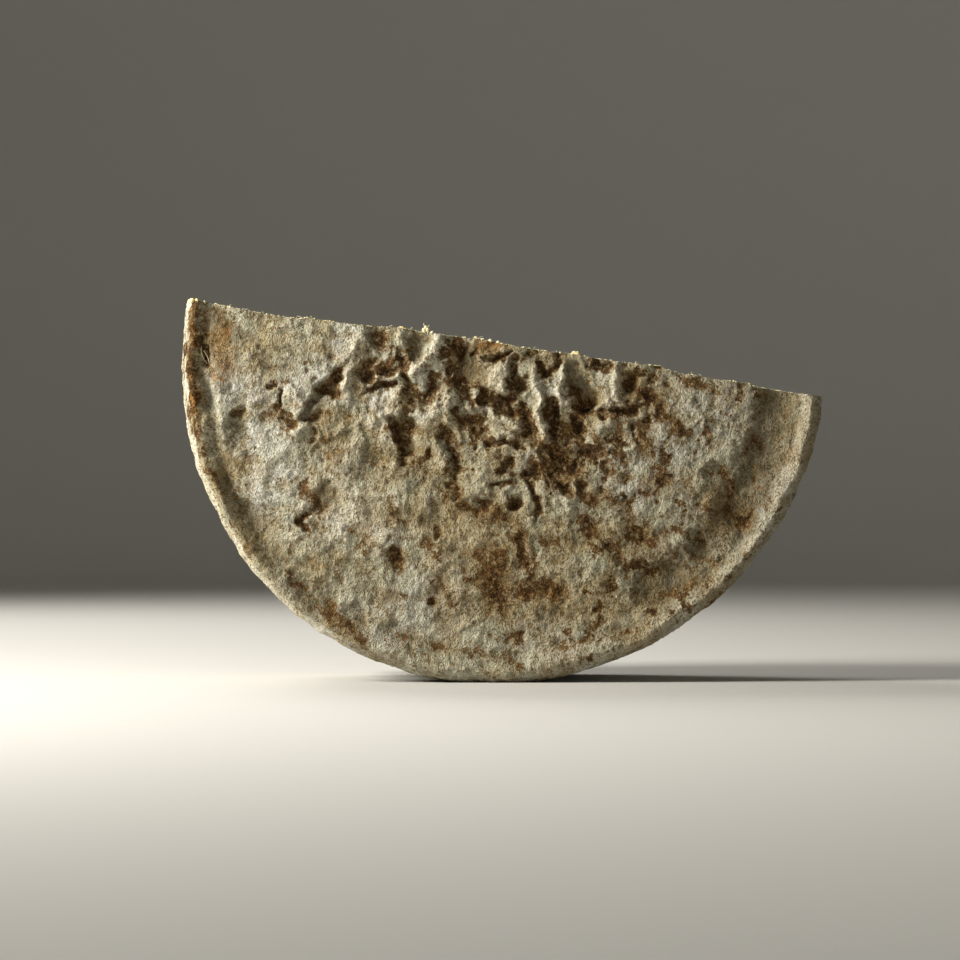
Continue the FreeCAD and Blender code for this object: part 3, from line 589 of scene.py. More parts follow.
class Tint:
    """One value in a material: expressions on it add the Math nodes that work it out."""

    def __init__(self, tree, socket=None):
        self.tree, self.socket = tree, socket

    def node(self, kind, settings, sockets, output=0):
        """Adds a node: its settings first, then the values or links of its sockets."""
        made = self.tree.nodes.new(kind)
        for name, value in settings.items():
            if name == "stops":
                while len(made.color_ramp.elements) < len(value):
                    made.color_ramp.elements.new(0.5)
                for element, (place, colour) in zip(made.color_ramp.elements, value):
                    element.position, element.color = place, (*colour, 1.0)
            else:
                setattr(made, name, value)
        for name, value in sockets.items():
            if isinstance(value, Tint):
                self.tree.links.new(value.socket, made.inputs[name])
            elif isinstance(value, tuple) and len(value) == 3 and made.inputs[name].type == "RGBA":
                made.inputs[name].default_value = (*value, 1.0)
            else:
                made.inputs[name].default_value = value
        return Tint(self.tree, made.outputs[output])

    def maths(self, operation, *values):
        """The result of one Math node."""
        return self.node("ShaderNodeMath", {"operation": operation}, dict(enumerate(values)))

    def __add__(self, other):
        return self.maths("ADD", self, other)

    def __sub__(self, other):
        return self.maths("SUBTRACT", self, other)

    def __rsub__(self, other):
        return self.maths("SUBTRACT", other, self)

    def __mul__(self, other):
        return self.maths("MULTIPLY", self, other)

    __radd__, __rmul__ = __add__, __mul__

    def between(self, start, end):
        """An eased step from 0 at start to 1 at end."""
        settings = {"interpolation_type": "SMOOTHSTEP"}
        return self.node("ShaderNodeMapRange", settings, {0: self, 1: start, 2: end})

    def mixed(self, colour, share, blend="MIX"):
        """This colour, with that share of the other one mixed in."""
        settings = {"data_type": "RGBA", "blend_type": blend}
        return self.node("ShaderNodeMix", settings, {0: share, 6: self, 7: colour}, 2)

    def graded(self, *stops):
        """A colour for this value, blended between the nearest two stops."""
        return self.node("ShaderNodeValToRGB", {"stops": stops}, {"Fac": self})

    def noise(self, size_mm, detail=2.0, roughness=0.5, shift=0.0):
        """Cloudy noise in the object's own space, with features of this size."""
        place = self.node("ShaderNodeTexCoord", {}, {}, 3)
        moved = self.node("ShaderNodeMapping", {}, {0: place, 1: (shift, shift, shift)})
        sockets = {"Vector": moved, "Scale": 1000.0 / size_mm, "Detail": detail, "Roughness": roughness}
        return self.node("ShaderNodeTexNoise", {}, sockets)

    def painted(self, name):
        """How fully this finish lies here, as laid down with the mesh."""
        return self.node("ShaderNodeAttribute", {"attribute_name": name}, {}, 2)


def rind_finish():
    """Grey-white mould like felt over brown rind, orange where it is rubbed bare, with painted shade and
    painted highlight over it.
    """
    paint = bpy.data.materials.new("mould-ripened rind")
    paint.use_nodes = True
    shader = paint.node_tree.nodes["Principled BSDF"]
    pen = Tint(paint.node_tree)
    felt = pen.noise(1.1, 3.0, 0.65)
    grain = pen.noise(0.6, 1.0, 0.5, 0.3)
    cloud = pen.noise(16.0, 3.0, 0.55, 0.7)
    patch = pen.noise(5.0, 4.0, 0.6, 1.1)
    fleck = pen.noise(2.1, 3.0, 0.6, 1.9)
    # the mould: beige and grey by turns, thin and tan in places, cold white where it is thick
    mould = cloud.graded((0.34, (0.290, 0.215, 0.110)), (0.45, (0.405, 0.335, 0.205)),
                         (0.54, (0.400, 0.380, 0.275)), (0.66, (0.530, 0.500, 0.390)))
    mould = mould.mixed((0.200, 0.142, 0.064), patch.between(0.52, 0.34) * 0.6)
    mould = mould.mixed((0.440, 0.425, 0.320), fleck.between(0.42, 0.62) * 0.45)
    mould = mould.mixed((0.64, 0.64, 0.585), pen.painted("bloom") * patch.between(0.32, 0.54))
    # painted highlight: pale cream on ridges, crests and lit slopes
    mould = mould.mixed((0.74, 0.69, 0.55), pen.painted("worn").between(0.15, 0.9) * 0.6)
    mould = mould.mixed((0.31, 0.190, 0.080), pen.painted("rust").between(0.05, 0.7) * 0.6)
    # painted shade: dark olive brown in hollows, low places and on the right
    mould = mould.mixed((0.105, 0.076, 0.032), pen.painted("shade") * (0.35 + 0.6 * patch))
    mould = mould.mixed((0.100, 0.066, 0.026), fleck.between(0.41, 0.28) * 0.4)
    mould = mould.mixed((0.055, 0.036, 0.015), felt.between(0.36, 0.28) * 0.6)
    # the mould thins to tan round the bare brown rind of the hollows
    edge = 1.3 * (patch - 0.5) + 1.5 * (fleck - 0.5) + 0.3 * (felt - 0.5)
    bared = pen.painted("bare") + edge
    haze = (bared + 0.3 * (cloud - 0.5)).between(0.12, 0.5)
    mould = mould.mixed((0.225, 0.158, 0.078), haze * 0.6)
    soil = bared.graded((0.34, (0.215, 0.130, 0.046)), (0.52, (0.145, 0.077, 0.023)),
                        (0.74, (0.076, 0.036, 0.009)), (1.00, (0.025, 0.011, 0.002)))
    soil = soil.mixed((0.150, 0.066, 0.028), patch.between(0.50, 0.60) * 0.3)
    soil = soil.mixed((0.25, 0.165, 0.075), felt.between(0.52, 0.62) * 0.5)
    soil = soil.mixed((0.38, 0.290, 0.160), fleck.between(0.56, 0.65) * 0.6)
    soil = soil.mixed((0.014, 0.006, 0.002), fleck.between(0.46, 0.37) * 0.8)
    bare = bared.between(0.44, 0.54)
    rust = (pen.painted("rust") + edge).between(0.42, 0.95)
    orange = (0.7 * fleck + 0.3 * felt).graded(
        (0.36, (0.090, 0.043, 0.013)), (0.50, (0.215, 0.122, 0.046)), (0.64, (0.38, 0.270, 0.140)))
    colour = mould.mixed(orange, rust * 0.75).mixed(soil, bare * 0.94)
    ember = (pen.painted("rust") + 2.6 * (fleck - 0.5) + 1.4 * (patch - 0.5)).between(0.86, 1.10)
    colour = colour.mixed((0.30, 0.145, 0.038), ember * 0.7)
    # the nap: painted shade between its tips, warming as it darkens, and a painted highlight on the tips
    tips = felt.between(0.36, 0.64) * 0.55 + grain.between(0.36, 0.64) * 0.45
    nap_shade_and_highlight = tips.graded(
        (0.12, (0.44, 0.38, 0.28)), (0.46, (0.89, 0.875, 0.84)), (0.86, (1.10, 1.10, 1.10)))
    colour = colour.mixed(nap_shade_and_highlight, 0.4 + 0.6 * patch.between(0.62, 0.40), "MULTIPLY")
    relief = felt * 0.8 + grain * 0.55 + fleck * 0.6 - bare * 0.4
    bump = pen.node("ShaderNodeBump", {}, {"Strength": 1.0, "Distance": 0.0012, "Height": relief})
    paint.node_tree.links.new(colour.socket, shader.inputs["Base Color"])
    paint.node_tree.links.new(bump.socket, shader.inputs["Normal"])
    shader.inputs["Roughness"].default_value = 0.92
    shader.inputs["Specular IOR Level"].default_value = 0.08
    return paint


def closed_mesh(name, spots, faces, loops, inner, caps, finishes, places, paint):
    """A sheet closed behind by a plain inner skin, with its finishes and its flat map.

    loops are the sheet's edge, inner the points just behind it, and caps the faces
    that close those, numbered from the first inner point on.
    """
    count, sheet_count = len(spots), len(faces)
    behind = [(loops[n - 1], loops[n], count + n, count + n - 1 if n else count + len(loops) - 1)
              for n in range(len(loops))]
    points = (np.vstack([spots, inner]) + AXIS) * MM
    points[:, 2] = np.maximum(points[:, 2], 0.0)
    mesh = bpy.data.meshes.new(name)
    all_faces = [list(face) for face in faces.tolist()] + [list(face) for face in behind]
    all_faces += [[count + corner for corner in cap] for cap in caps]
    mesh.from_pydata(points.tolist(), [], all_faces)
    for finish, values in finishes.items():
        layer = mesh.attributes.new(finish, "FLOAT", "POINT")
        layer.data.foreach_set("value", np.append(values, np.zeros(len(inner))).astype(np.float32))
    size = faces.shape[1]
    flat = np.full((len(mesh.loops), 2), 0.995)
    flat[:sheet_count * size] = 0.01 + 0.97 * places.reshape(-1, 2)
    layer = mesh.uv_layers.new(name="OFBake")
    layer.data.foreach_set("uv", flat.astype(np.float32).ravel())
    mesh.materials.append(paint)
    mesh.shade_smooth()
    piece = bpy.data.objects.new(name, mesh)
    bpy.context.scene.collection.objects.link(piece)
    return piece


SKIN_DEPTH, EDGE_WALL, INNER_MIDDLE_Z = 6.0, 3.0, -50.0


def face_piece(name, sheet, far, paint):
    """One rind face as a closed piece, SKIN_DEPTH deep at its edge."""
    count = sheet.edge_count
    rim_edge = sheet.spots[:count]
    away = (0.0, 0.0, INNER_MIDDLE_Z) - rim_edge
    away[:, 1] = 0.0
    inner = rim_edge + EDGE_WALL * away / np.linalg.norm(away, axis=1)[:, None]
    inner[:, 1] += -SKIN_DEPTH if far else SKIN_DEPTH
    middle = np.array([[0.0, (CREST_Y - 14.0) * (1 if far else -1), INNER_MIDDLE_Z]])
    caps = [(number, (number + 1) % count, count) for number in range(count)]
    flat = sheet.spots[:, (0, 2)]
    flat = (flat - flat.min(axis=0)) / (flat.max(axis=0) - flat.min(axis=0))
    faces = sheet.faces[:, ::-1] if far else sheet.faces
    return closed_mesh(name, sheet.spots, faces, list(range(count)), np.vstack([inner, middle]), caps,
                       sheet.finishes, flat[faces], paint)


SKIN_COLUMNS, FACE_PITCH = 700, 0.52
rind_paint = rind_finish()
shown_sheet = face_sheet(False, SKIN_COLUMNS, FACE_PITCH, 5)
shown_face = face_piece("shown_rind_face", shown_sheet, False, rind_paint)
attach(shown_face, "root")
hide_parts("half_wheel")


# The rim -----------------------------------------------------------------------
# The side of the wheel, round from one face's crest to the other's: pressed flat
# by its hoop, with a waist behind each rounded rim where the young cheese sank.

FAR_PITCH = 0.64
far_sheet = face_sheet(True, SKIN_COLUMNS, FAR_PITCH, 6)


def rim_section(rows):
    """The rim's rows from crest to crest: inset, depth, direction out and distance along."""
    angles = np.linspace(CREST_ANGLE, 0.0, 40)
    rounding = CREST_Y - RIM_ROUNDING * (math.sin(CREST_ANGLE) - np.sin(angles))
    straight = np.linspace(CREST_Y - RIM_ROUNDING * math.sin(CREST_ANGLE), 0.0, 80)[1:]
    inset = np.append(RIM_ROUNDING * (1.0 - np.cos(angles)), np.zeros(len(straight)))
    depth = np.append(rounding, straight)
    inset = np.append(inset, inset[-2::-1])
    depth = np.append(depth, -depth[-2::-1])
    # a waist behind each rim and a softer one at the belly between them
    waist = 2.6 * (np.exp(-((depth - 17.0) / 9.0) ** 2) + np.exp(-((depth + 15.0) / 9.0) ** 2))
    inset = inset + waist + 1.3 * np.exp(-((depth - 1.0) / 8.0) ** 2)
    length = np.append(0.0, np.cumsum(np.hypot(np.diff(inset), np.diff(depth))))
    even = np.linspace(0.0, length[-1], rows)
    inset, y = np.interp(even, length, inset), -np.interp(even, length, depth)
    slope_in, slope_y = np.gradient(inset, even), np.gradient(y, even)
    slope_in[0], slope_y[0] = -math.sin(CREST_ANGLE), math.cos(CREST_ANGLE)
    slope_in[-1], slope_y[-1] = math.sin(CREST_ANGLE), math.cos(CREST_ANGLE)
    return inset, y, slope_y, slope_in, even


RIM_ROWS, RIM_WALL = 136, 3.5
rim_inset, rim_y, rim_out, rim_side, rim_even = rim_section(RIM_ROWS)
rim_from_shown = np.exp(-(rim_even / 2.8) ** 2)
rim_from_far = rim_from_shown[::-1]
rim_roughness = 0.3 + 0.7 * np.exp(-(np.minimum(rim_even, rim_even[::-1]) / 9.0) ** 2)


def rim_points(angles, row, crest_lifts):
    """Points of one row of the rim, with the crests' own lumps fading into the side."""
    reach = outline(angles) - rim_inset[row]
    x, z = reach * np.cos(angles), reach * np.sin(angles)
    y = np.full_like(x, rim_y[row])
    keep = 1.0 - rim_from_shown[row] - rim_from_far[row]
    own = 0.75 * LUMPS.cloud(x + 300, y, z, 22.0, 2) + 0.5 * CREASES.cloud(x + 300, y, z, 6.0, 3)
    # shallow creases left by the cloth, running round the wheel
    pleat = CREASES.cloud(x * 0.3 + 500, y, z * 0.3, 5.0, 2)
    own -= 0.5 * ramp(pleat, 0.1, 0.35)
    lift = crest_lifts[0] * rim_from_shown[row] + crest_lifts[1] * rim_from_far[row]
    lift = lift + keep * (own - 0.35) + rim_roughness[row] * edge_lumps(x, y, z) + nap(x, y, z)
    stray = crest_wander(angles, False) * math.exp(-(rim_even[row] / WANDER_RUN) ** 2)
    stray = stray + crest_wander(angles, True) * math.exp(-(rim_even[-1 - row] / WANDER_RUN) ** 2)
    step = rim_out[row] * lift + stray
    spot = np.stack([x + step * np.cos(angles), y + rim_side[row] * lift, z + step * np.sin(angles)], 1)
    spot[:, 1] = np.clip(spot[:, 1], -OUTER_Y, OUTER_Y)
    return spot, own


def crest_lift(sheet, far):
    """How far each crest point stands off, without the lumps that the rim shares."""
    reach = outline(sheet.angles) - CREST_INSET
    x, z = reach * np.cos(sheet.angles), reach * np.sin(sheet.angles)
    return face_lift(x, z, far)[0] - edge_lumps(x, CREST_Y * (1 if far else -1), z)


def rim_row(row):
    """Points of one row of the rim, from cut to cut, and their own lift."""
    if row in (0, RIM_ROWS - 1):
        sheet = far_sheet if row else shown_sheet
        return sheet.spots[:SKIN_COLUMNS], np.zeros(SKIN_COLUMNS)
    ends = []
    for end, guess in zip((0, -1), CUT_ENDS):
        lifts = (shown_lift[end], far_lift[end])
        found = settle_on_cut(lambda turn: rim_points(turn, row, lifts)[0], np.array([guess]),
                              WHEEL_RADIUS * math.cos(guess))
        ends.append(found[0])
    return rim_points(np.linspace(*ends, SKIN_COLUMNS), row, (shown_lift, far_lift))


def rim_finish(spots, own, from_shown, from_far):
    """Finishes of one row of the rim, this far from both crests, with its painted shade and painted
    highlight.
    """
    x, y, z = spots.T
    # on the left, just past the crest, the rim takes a painted highlight where the light from the left falls
    # on it
    lit = ramp(-x, 20.0, 80.0) * ramp(from_shown, 1.2, 3.2) * ramp(from_shown, 13.0, 8.0)
    blotches = BLOTCH.cloud(x, y, z, 8.0, 5, 0.75) + 0.7 * LUMPS.cloud(x + 40, y, z, 34.0, 2)
    side = {
        "bare": ramp(blotches, 0.10, 0.46) * 0.75 * (1.0 - 0.6 * lit) + 0.6 * ramp(own, -0.35, -0.8),
        "rust": ramp(BLOTCH.cloud(x + 70, y, z, 14.0, 5, 0.7), 0.10, 0.4) * 0.5,
        "bloom": ramp(BLOTCH.cloud(x + 150, y, z, 17.0, 3), -0.1, 0.3),
        # painted shade in the rim's low places, and a painted highlight on its high places and on the lit
        # band at the left
        "shade": ramp(own, 0.0, -0.7) * 0.5,
        "worn": np.maximum(ramp(own, 0.2, 0.9), lit),
    }
    # close to a crest the face's finishes run on over it
    face = face_lift(x, z, from_shown > from_far)[1]
    share = math.exp(-(min(from_shown, from_far) / 6.5) ** 2) * (1.0 - lit)
    return {name: np.clip(values * (1.0 - share) + share * face[name], 0.0, 1.0)
            for name, values in side.items()}


shown_lift, far_lift = crest_lift(shown_sheet, False), crest_lift(far_sheet, True)
rim_spots, rim_finishes = [], []
for row in range(RIM_ROWS):
    spots, own = rim_row(row)
    rim_spots.append(spots)
    rim_finishes.append(rim_finish(spots, own, rim_even[row], rim_even[-1] - rim_even[row]))
rim_spots = np.vstack(rim_spots)
rim_finishes = {name: np.concatenate([found[name] for found in rim_finishes]) for name in rim_finishes[0]}

rim_grid = np.arange(RIM_ROWS * SKIN_COLUMNS).reshape(RIM_ROWS, SKIN_COLUMNS)
rim_faces = np.stack([rim_grid[:-1, :-1], rim_grid[1:, :-1], rim_grid[1:, 1:], rim_grid[:-1, 1:]], -1)
rim_faces = rim_faces.reshape(-1, 4)
rim_loop = np.concatenate([rim_grid[0], rim_grid[1:-1, -1], rim_grid[-1, ::-1], rim_grid[-2:0:-1, 0]])
rim_inner = rim_spots[rim_loop].copy()
rim_radius = np.hypot(rim_inner[:, 0], rim_inner[:, 2])[:, None]
rim_inner[:, (0, 2)] *= 1.0 - RIM_WALL / rim_radius
rim_inner[:, 1] *= 1.0 - SKIN_DEPTH / CREST_Y
rim_ends = np.concatenate([np.arange(SKIN_COLUMNS - 1, SKIN_COLUMNS + RIM_ROWS - 1),
                           np.arange(2 * SKIN_COLUMNS + RIM_ROWS - 3, len(rim_loop)), [0]])
rim_inner[rim_ends, 2] -= EDGE_WALL
shown_inner = np.arange(SKIN_COLUMNS)
far_inner = SKIN_COLUMNS + RIM_ROWS - 2 + np.arange(SKIN_COLUMNS)[::-1]
rim_caps = [(shown_inner[n], shown_inner[n + 1], far_inner[n + 1], far_inner[n])
            for n in range(SKIN_COLUMNS - 1)]
rim_caps.append(tuple(range(SKIN_COLUMNS - 1, SKIN_COLUMNS + RIM_ROWS - 1)))
rim_caps.append((*range(2 * SKIN_COLUMNS + RIM_ROWS - 3, len(rim_loop)), 0))
# the map of the rim in two strips, one over the other
rim_place = np.stack(np.meshgrid(np.linspace(0, 2, SKIN_COLUMNS), np.linspace(0, 0.48, RIM_ROWS)), -1)
rim_flat = rim_place.reshape(-1, 2)[rim_faces]
upper_strip = rim_flat[:, :, 0].mean(axis=1) > 1.0
rim_flat[upper_strip] += (-1.0, 0.5)
rim = closed_mesh("rim_rind", rim_spots, rim_faces, rim_loop.tolist(), rim_inner, rim_caps,
                  rim_finishes, rim_flat, rind_paint)
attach(rim, "root")
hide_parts("half_wheel")


# The far rind face ---------------------------------------------------------------
# The wheel's other face, with the same felted mould and the same kinds of fold,
# sunk inside its own rim.

far_face = face_piece("far_rind_face", far_sheet, True, rind_paint)
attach(far_face, "root")
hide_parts("half_wheel")


# The cut face --------------------------------------------------------------------
# The crumbly cream paste, cut across the wheel in eight knife strokes that tore a
# ragged step where one met the next. It is deeper yellow and waxy near the rind.

def paste_finish():
    """Pale lactic core, waxy yellow breakdown under the rind, and the rind's own edge."""
    paint = bpy.data.materials.new("crumbly paste")
    paint.use_nodes = True
    shader = paint.node_tree.nodes["Principled BSDF"]
    pen = Tint(paint.node_tree)
    cloud = pen.noise(14.0, 3.0, 0.5, 0.2)
    fleck = pen.noise(1.6, 3.0, 0.6, 0.9)
    grain = pen.noise(0.6, 2.0, 0.6, 1.7)
    rind = pen.painted("depth") + 6.0 * (pen.noise(6.0, 4.0, 0.6, 2.2) - 0.5)
    core = cloud.graded(
        (0.32, (0.73, 0.605, 0.30)), (0.50, (0.78, 0.675, 0.375)), (0.68, (0.81, 0.725, 0.45)))
    uneven_depth = pen.painted("depth") + 16.0 * (cloud - 0.5) + 7.0 * (pen.noise(5.0, 3.0) - 0.5)
    waxy = uneven_depth.between(17.0, 8.0)
    colour = core.mixed((0.60, 0.455, 0.135), waxy * 0.85)
    fresh = pen.painted("torn").between(0.2, 0.9) * fleck.between(0.3, 0.6)
    colour = colour.mixed((0.83, 0.745, 0.49), fresh)
    # painted shade: orange brown in the holes and slits
    colour = colour.mixed((0.50, 0.30, 0.085), pen.painted("pitted").between(0.25, 0.8) * 0.8)
    colour = colour.mixed((0.60, 0.47, 0.22), fleck.between(0.40, 0.30) * 0.35)
    colour = colour.mixed((0.22, 0.115, 0.055), rind.between(2.5, 1.9) * 0.85)
    crust = fleck.graded(
        (0.34, (0.13, 0.085, 0.04)), (0.50, (0.36, 0.30, 0.19)), (0.64, (0.54, 0.50, 0.40)))
    colour = colour.mixed(crust, rind.between(1.8, 1.3))
    relief = fleck * 0.6 + grain * 0.4
    bump = pen.node("ShaderNodeBump", {}, {"Strength": 0.8, "Distance": 0.0005, "Height": relief})
    paint.node_tree.links.new(colour.socket, shader.inputs["Base Color"])
    paint.node_tree.links.new((0.78 - 0.32 * waxy).socket, shader.inputs["Roughness"])
    paint.node_tree.links.new(bump.socket, shader.inputs["Normal"])
    shader.inputs["Specular IOR Level"].default_value = 0.35
    shader.inputs["Subsurface Weight"].default_value = 0.15
    shader.inputs["Subsurface Radius"].default_value = (0.004, 0.0025, 0.001)
    shader.inputs["Subsurface Scale"].default_value = 1.0
    return paint


paste_paint = paste_finish()
shown_edge = shown_sheet.spots[SKIN_COLUMNS - 1:shown_sheet.edge_count][::-1]
shown_edge = np.vstack([shown_sheet.spots[:1], shown_edge])
far_edge = np.vstack([far_sheet.spots[SKIN_COLUMNS - 1:far_sheet.edge_count], far_sheet.spots[:1]])
right_end = rim_spots[rim_grid[1:-1, -1]]
left_end = rim_spots[rim_grid[1:-1, 0]][::-1]
cut_edge = np.vstack([shown_edge, right_end, far_edge, left_end])
grid_x, grid_y = shaken_grid(-CREST_Y, CREST_Y, CUT_PITCH, 0.08, np.random.default_rng(8))


def rind_depths(x, y):
    """Distance in from each of the four sides of the cut."""
    shown = y - np.interp(x, shown_edge[:, 0], shown_edge[:, 1])
    far = np.interp(x, far_edge[::-1, 0], far_edge[::-1, 1]) - y
    right = np.interp(y, right_end[:, 1], right_end[:, 0]) - x
    left = x - np.interp(y, left_end[::-1, 1], left_end[::-1, 0])
    return np.minimum(np.minimum(shown, far), np.minimum(right, left))


inside_cut = rind_depths(grid_x, grid_y) > 0.55 * CUT_PITCH
cut_plan = np.vstack([cut_edge[:, :2], np.stack([grid_x[inside_cut], grid_y[inside_cut]], 1)])
cut_faces = triangles_over(cut_plan, len(cut_edge))
cut_level, cut_finishes = cut_surface(cut_plan[:, 0], cut_plan[:, 1])
cut_finishes["depth"] = np.maximum(rind_depths(cut_plan[:, 0], cut_plan[:, 1]), 0.0)
cut_spots = np.column_stack([cut_plan, cut_level])
cut_spots[:len(cut_edge)] = cut_edge
cut_inner = cut_edge * (1.0 - EDGE_WALL / WHEEL_RADIUS, 1.0 - EDGE_WALL / CREST_Y, 1.0)
cut_inner = np.vstack([cut_inner - (0.0, 0.0, EDGE_WALL), [[0.0, 0.0, -2.0]]])
cut_caps = [(n, (n + 1) % len(cut_edge), len(cut_edge)) for n in range(len(cut_edge))]
cut_flat = np.stack([cut_plan[:, 0] / WHEEL_RADIUS, (cut_plan[:, 1] / CREST_Y + 1.0) * 0.24], 1)[cut_faces]
on_left = cut_flat[:, :, 0].mean(axis=1) < 0.0
cut_flat[on_left] += (1.0, 0.5)
cut_flat = np.clip(cut_flat, 0.0, 1.0)
cut_face = closed_mesh("cut_face", cut_spots, cut_faces, list(range(len(cut_edge))), cut_inner, cut_caps,
                       cut_finishes, cut_flat, paste_paint)
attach(cut_face, "root")
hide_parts("half_wheel")


# The crumbs ------------------------------------------------------------------------
# Curd that the knife pulled up: joined crumbs along the torn steps and the edges of
# the cut, a sprig of it at the shown edge, and a few torn threads of mould.

draw = np.random.default_rng(21)
ball_mesh = bmesh.new()
bmesh.ops.create_icosphere(ball_mesh, subdivisions=2, radius=1.0)
ball = np.array([point.co[:] for point in ball_mesh.verts])
ball_faces = np.array([[point.index for point in face.verts] for face in ball_mesh.faces])
ball_mesh.free()


def crumb(centre, radius):
    """One lumpy crumb."""
    stretch = draw.uniform(0.7, 1.25, 3)
    place = 1.3 * ball + draw.uniform(0.0, 50.0, 3)
    lumpy = 1.0 + 0.8 * CRUMB.cloud(place[:, 0], place[:, 1], place[:, 2], 1.3, 3, 0.6)
    spots = centre + radius * stretch * ball * lumpy[:, None]
    spots[:, 2] = np.minimum(spots[:, 2], CUT_TOP)
    return spots, ball_faces


def thread(start, end, bow, radius):
    """One torn thread, bowed between its ends and pointed at both."""
    rings, sides = 9, 5
    along = np.linspace(0.0, 1.0, rings)[:, None]
    spine = start + along * (end - start) + 4.0 * along * (1.0 - along) * bow
    run = (end - start) / np.linalg.norm(end - start)
    across = np.cross(run, (0.31, 0.87, 0.38))
    across /= np.linalg.norm(across)
    turns = 2.0 * np.pi * np.arange(sides) / sides
    ring = np.cos(turns)[:, None] * across + np.sin(turns)[:, None] * np.cross(run, across)
    girth = radius * (0.35 + 0.65 * np.sin(np.pi * along))
    spots = (spine[:, None] + girth[:, :, None] * ring).reshape(-1, 3)
    spots = np.vstack([spots, [start - run * radius, end + run * radius]])
    faces = []
    for side in range(sides):
        beside = (side + 1) % sides
        for step in range(rings - 1):
            low, high = step * sides, (step + 1) * sides
            faces += [(low + side, low + beside, high + beside), (low + side, high + beside, high + side)]
        faces += [(side, len(spots) - 2, beside), (high + beside, len(spots) - 1, high + side)]
    return spots, np.array(faces)


bits = []
torn_crumbs, fine_crumbs, shown_edge_crumbs, far_edge_crumbs, short_threads = 520, 260, 330, 150, 34
# where the steps tore, most of them small
loose = cut_spots[len(cut_edge):]
loose_depth = cut_finishes["depth"][len(cut_edge):]
odds = cut_finishes["torn"][len(cut_edge):] ** 2 * (loose_depth > 3.0)
odds = odds * ramp(TEAR.cloud(loose[:, 0], loose[:, 1], 120.0, 6.0, 2), -0.15, 0.3) ** 2
for number in draw.choice(len(loose), torn_crumbs, replace=False, p=odds / odds.sum()):
    radius = (0.3 + 0.9 * draw.random() ** 3) * np.clip(loose_depth[number] / 16.0, 0.4, 1.0)
    bits.append(crumb(loose[number] + (0.0, 0.0, -0.25 * radius), radius))
# a fine crumb on the rest of the cut
for number in draw.choice(len(loose), fine_crumbs, replace=False):
    radius = 0.18 + 0.3 * draw.random() ** 2
    bits.append(crumb(loose[number] + (0.0, 0.0, 0.3 * radius), radius))
# along the shown edge and the far one, where they stand a little above the rind
for edge, inside, count in ((shown_edge, 1.0, shown_edge_crumbs), (far_edge, -1.0, far_edge_crumbs)):
    for number in draw.integers(12, len(edge) - 12, count):
        radius = 0.12 + 0.24 * draw.random() ** 2
        away = inside * draw.uniform(0.0, 0.9)
        bits.append(crumb(edge[number] + (0.0, away, 0.2 * radius), radius))
# the sprig that stands up near the long fold, the pulled corner at the left and a few more
for x, up, radius in ((-28.4, 0.6, 1.0), (-27.2, 1.0, 0.9), (-27.8, 1.9, 0.6), (-25.6, 0.4, 0.7),
                      (-114.6, 0.1, 1.0), (-112.6, 0.1, 0.8), (-109.9, 0.0, 0.5), (-106.0, 0.0, 0.4),
                      (-4.0, 0.2, 0.7), (-1.0, 0.3, 0.5), (-6.6, 0.2, 0.5), (22.0, 0.2, 0.5)):
    near = shown_edge[np.argmin(np.abs(shown_edge[:, 0] - x))]
    bits.append(crumb(near + (x - near[0], 0.7 * radius, up), radius))
# short threads of torn mould along the shown edge, and two more at the sprig
for _ in range(short_threads):
    near = shown_edge[draw.integers(20, len(shown_edge) - 20)]
    run = np.array([draw.normal(0.0, 1.1), draw.uniform(-0.3, 0.5), draw.uniform(-0.3, 0.9)])
    bits.append(thread(near, near + run + 0.2, np.array([0.0, -0.2, 0.3]), 0.09))
sprig = shown_edge[np.argmin(np.abs(shown_edge[:, 0] + 27.8))] + (0.0, 0.4, 1.2)
bits.append(thread(sprig, sprig + (-0.9, 0.0, 2.4), np.array([-0.4, 0.0, 0.2]), 0.16))
bits.append(thread(sprig, sprig + (1.3, 0.2, 1.5), np.array([0.1, 0.0, 0.5]), 0.13))
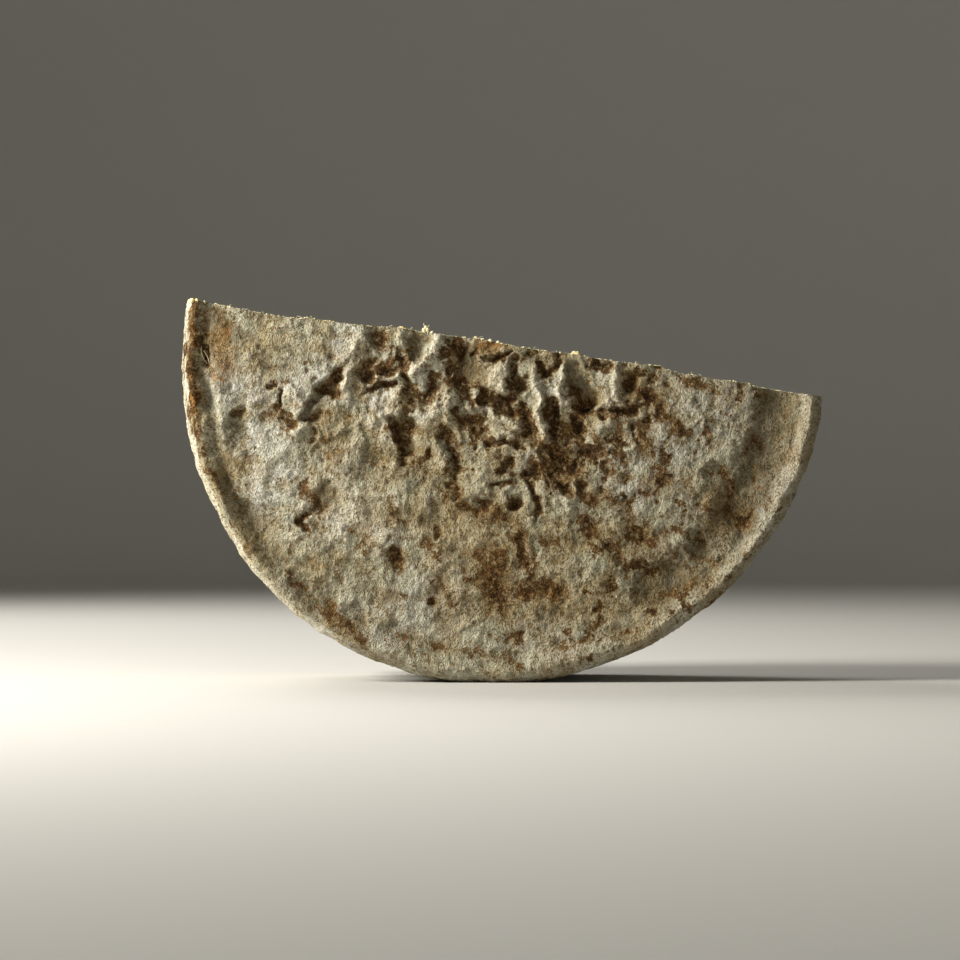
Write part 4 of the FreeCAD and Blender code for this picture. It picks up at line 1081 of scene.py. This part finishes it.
# two long threads that hang in the groove at the left
for ends, lean in (((-111.6, 6.5, -109.2, 0.0), -0.9), ((-111.0, 5.0, -108.4, -0.6), 0.7)):
    hang_x, hang_z = np.array(ends[::2]), np.array(ends[1::2])
    hang = face_points(hang_x, hang_z, False)[0] - (0.0, 0.3, 0.0)
    bits.append(thread(hang[0], hang[1], np.array([lean, -0.4, 0.0]), 0.15))
bit_start = np.cumsum([0] + [len(spots) for spots, _ in bits])
bit_spots = np.vstack([spots for spots, _ in bits])
bit_faces = np.vstack([faces + start for (_, faces), start in zip(bits, bit_start)])
bit_finish = {"torn": np.full(len(bit_spots), 0.5), "pitted": np.zeros(len(bit_spots)),
              "depth": np.full(len(bit_spots), 22.0)}
bit_flat = np.stack([0.5 + 0.45 * bit_spots[:, 0] / WHEEL_RADIUS, 0.5 + 0.45 * bit_spots[:, 1] / CREST_Y], 1)
crumbs = closed_mesh("crumbs", bit_spots, bit_faces, [], np.zeros((0, 3)), [], bit_finish,
                     bit_flat[bit_faces], paste_paint)
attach(crumbs, "root")
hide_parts("half_wheel")


# One smooth skin -------------------------------------------------------------------
# The two faces and the rim are one rind, so their shading runs on over the seams:
# each seam's points take the direction of all the faces that meet there.

def outward(spots, faces):
    """Direction of the surface at each point, weighed by the size of its faces."""
    corners = spots[faces]
    if faces.shape[1] == 4:
        flat = np.cross(corners[:, 2] - corners[:, 0], corners[:, 3] - corners[:, 1])
    else:
        flat = np.cross(corners[:, 1] - corners[:, 0], corners[:, 2] - corners[:, 0])
    total = np.zeros_like(spots)
    for corner in range(faces.shape[1]):
        np.add.at(total, faces[:, corner], flat)
    return total


def shade_by(piece, directions):
    """Shades the outer skin by these directions, and every point of the inner one by the same direction
    along y.
    """
    normals = np.zeros((len(piece.data.vertices), 3))
    normals[:, 1] = 1.0
    length = np.maximum(np.linalg.norm(directions, axis=1), 1e-12)[:, None]
    normals[:len(directions)] = directions / length
    piece.data.normals_split_custom_set_from_vertices(normals.tolist())


shown_out = outward(shown_sheet.spots, shown_sheet.faces)
far_out = outward(far_sheet.spots, far_sheet.faces[:, ::-1])
rim_outward = outward(rim_spots, rim_faces)
first, last = rim_grid[0], rim_grid[-1]
shown_out[:SKIN_COLUMNS] = rim_outward[first] = shown_out[:SKIN_COLUMNS] + rim_outward[first]
far_out[:SKIN_COLUMNS] = rim_outward[last] = far_out[:SKIN_COLUMNS] + rim_outward[last]
shade_by(shown_face, shown_out)
shade_by(far_face, far_out)
shade_by(rim, rim_outward)
shade_by(cut_face, outward(cut_spots, cut_faces))
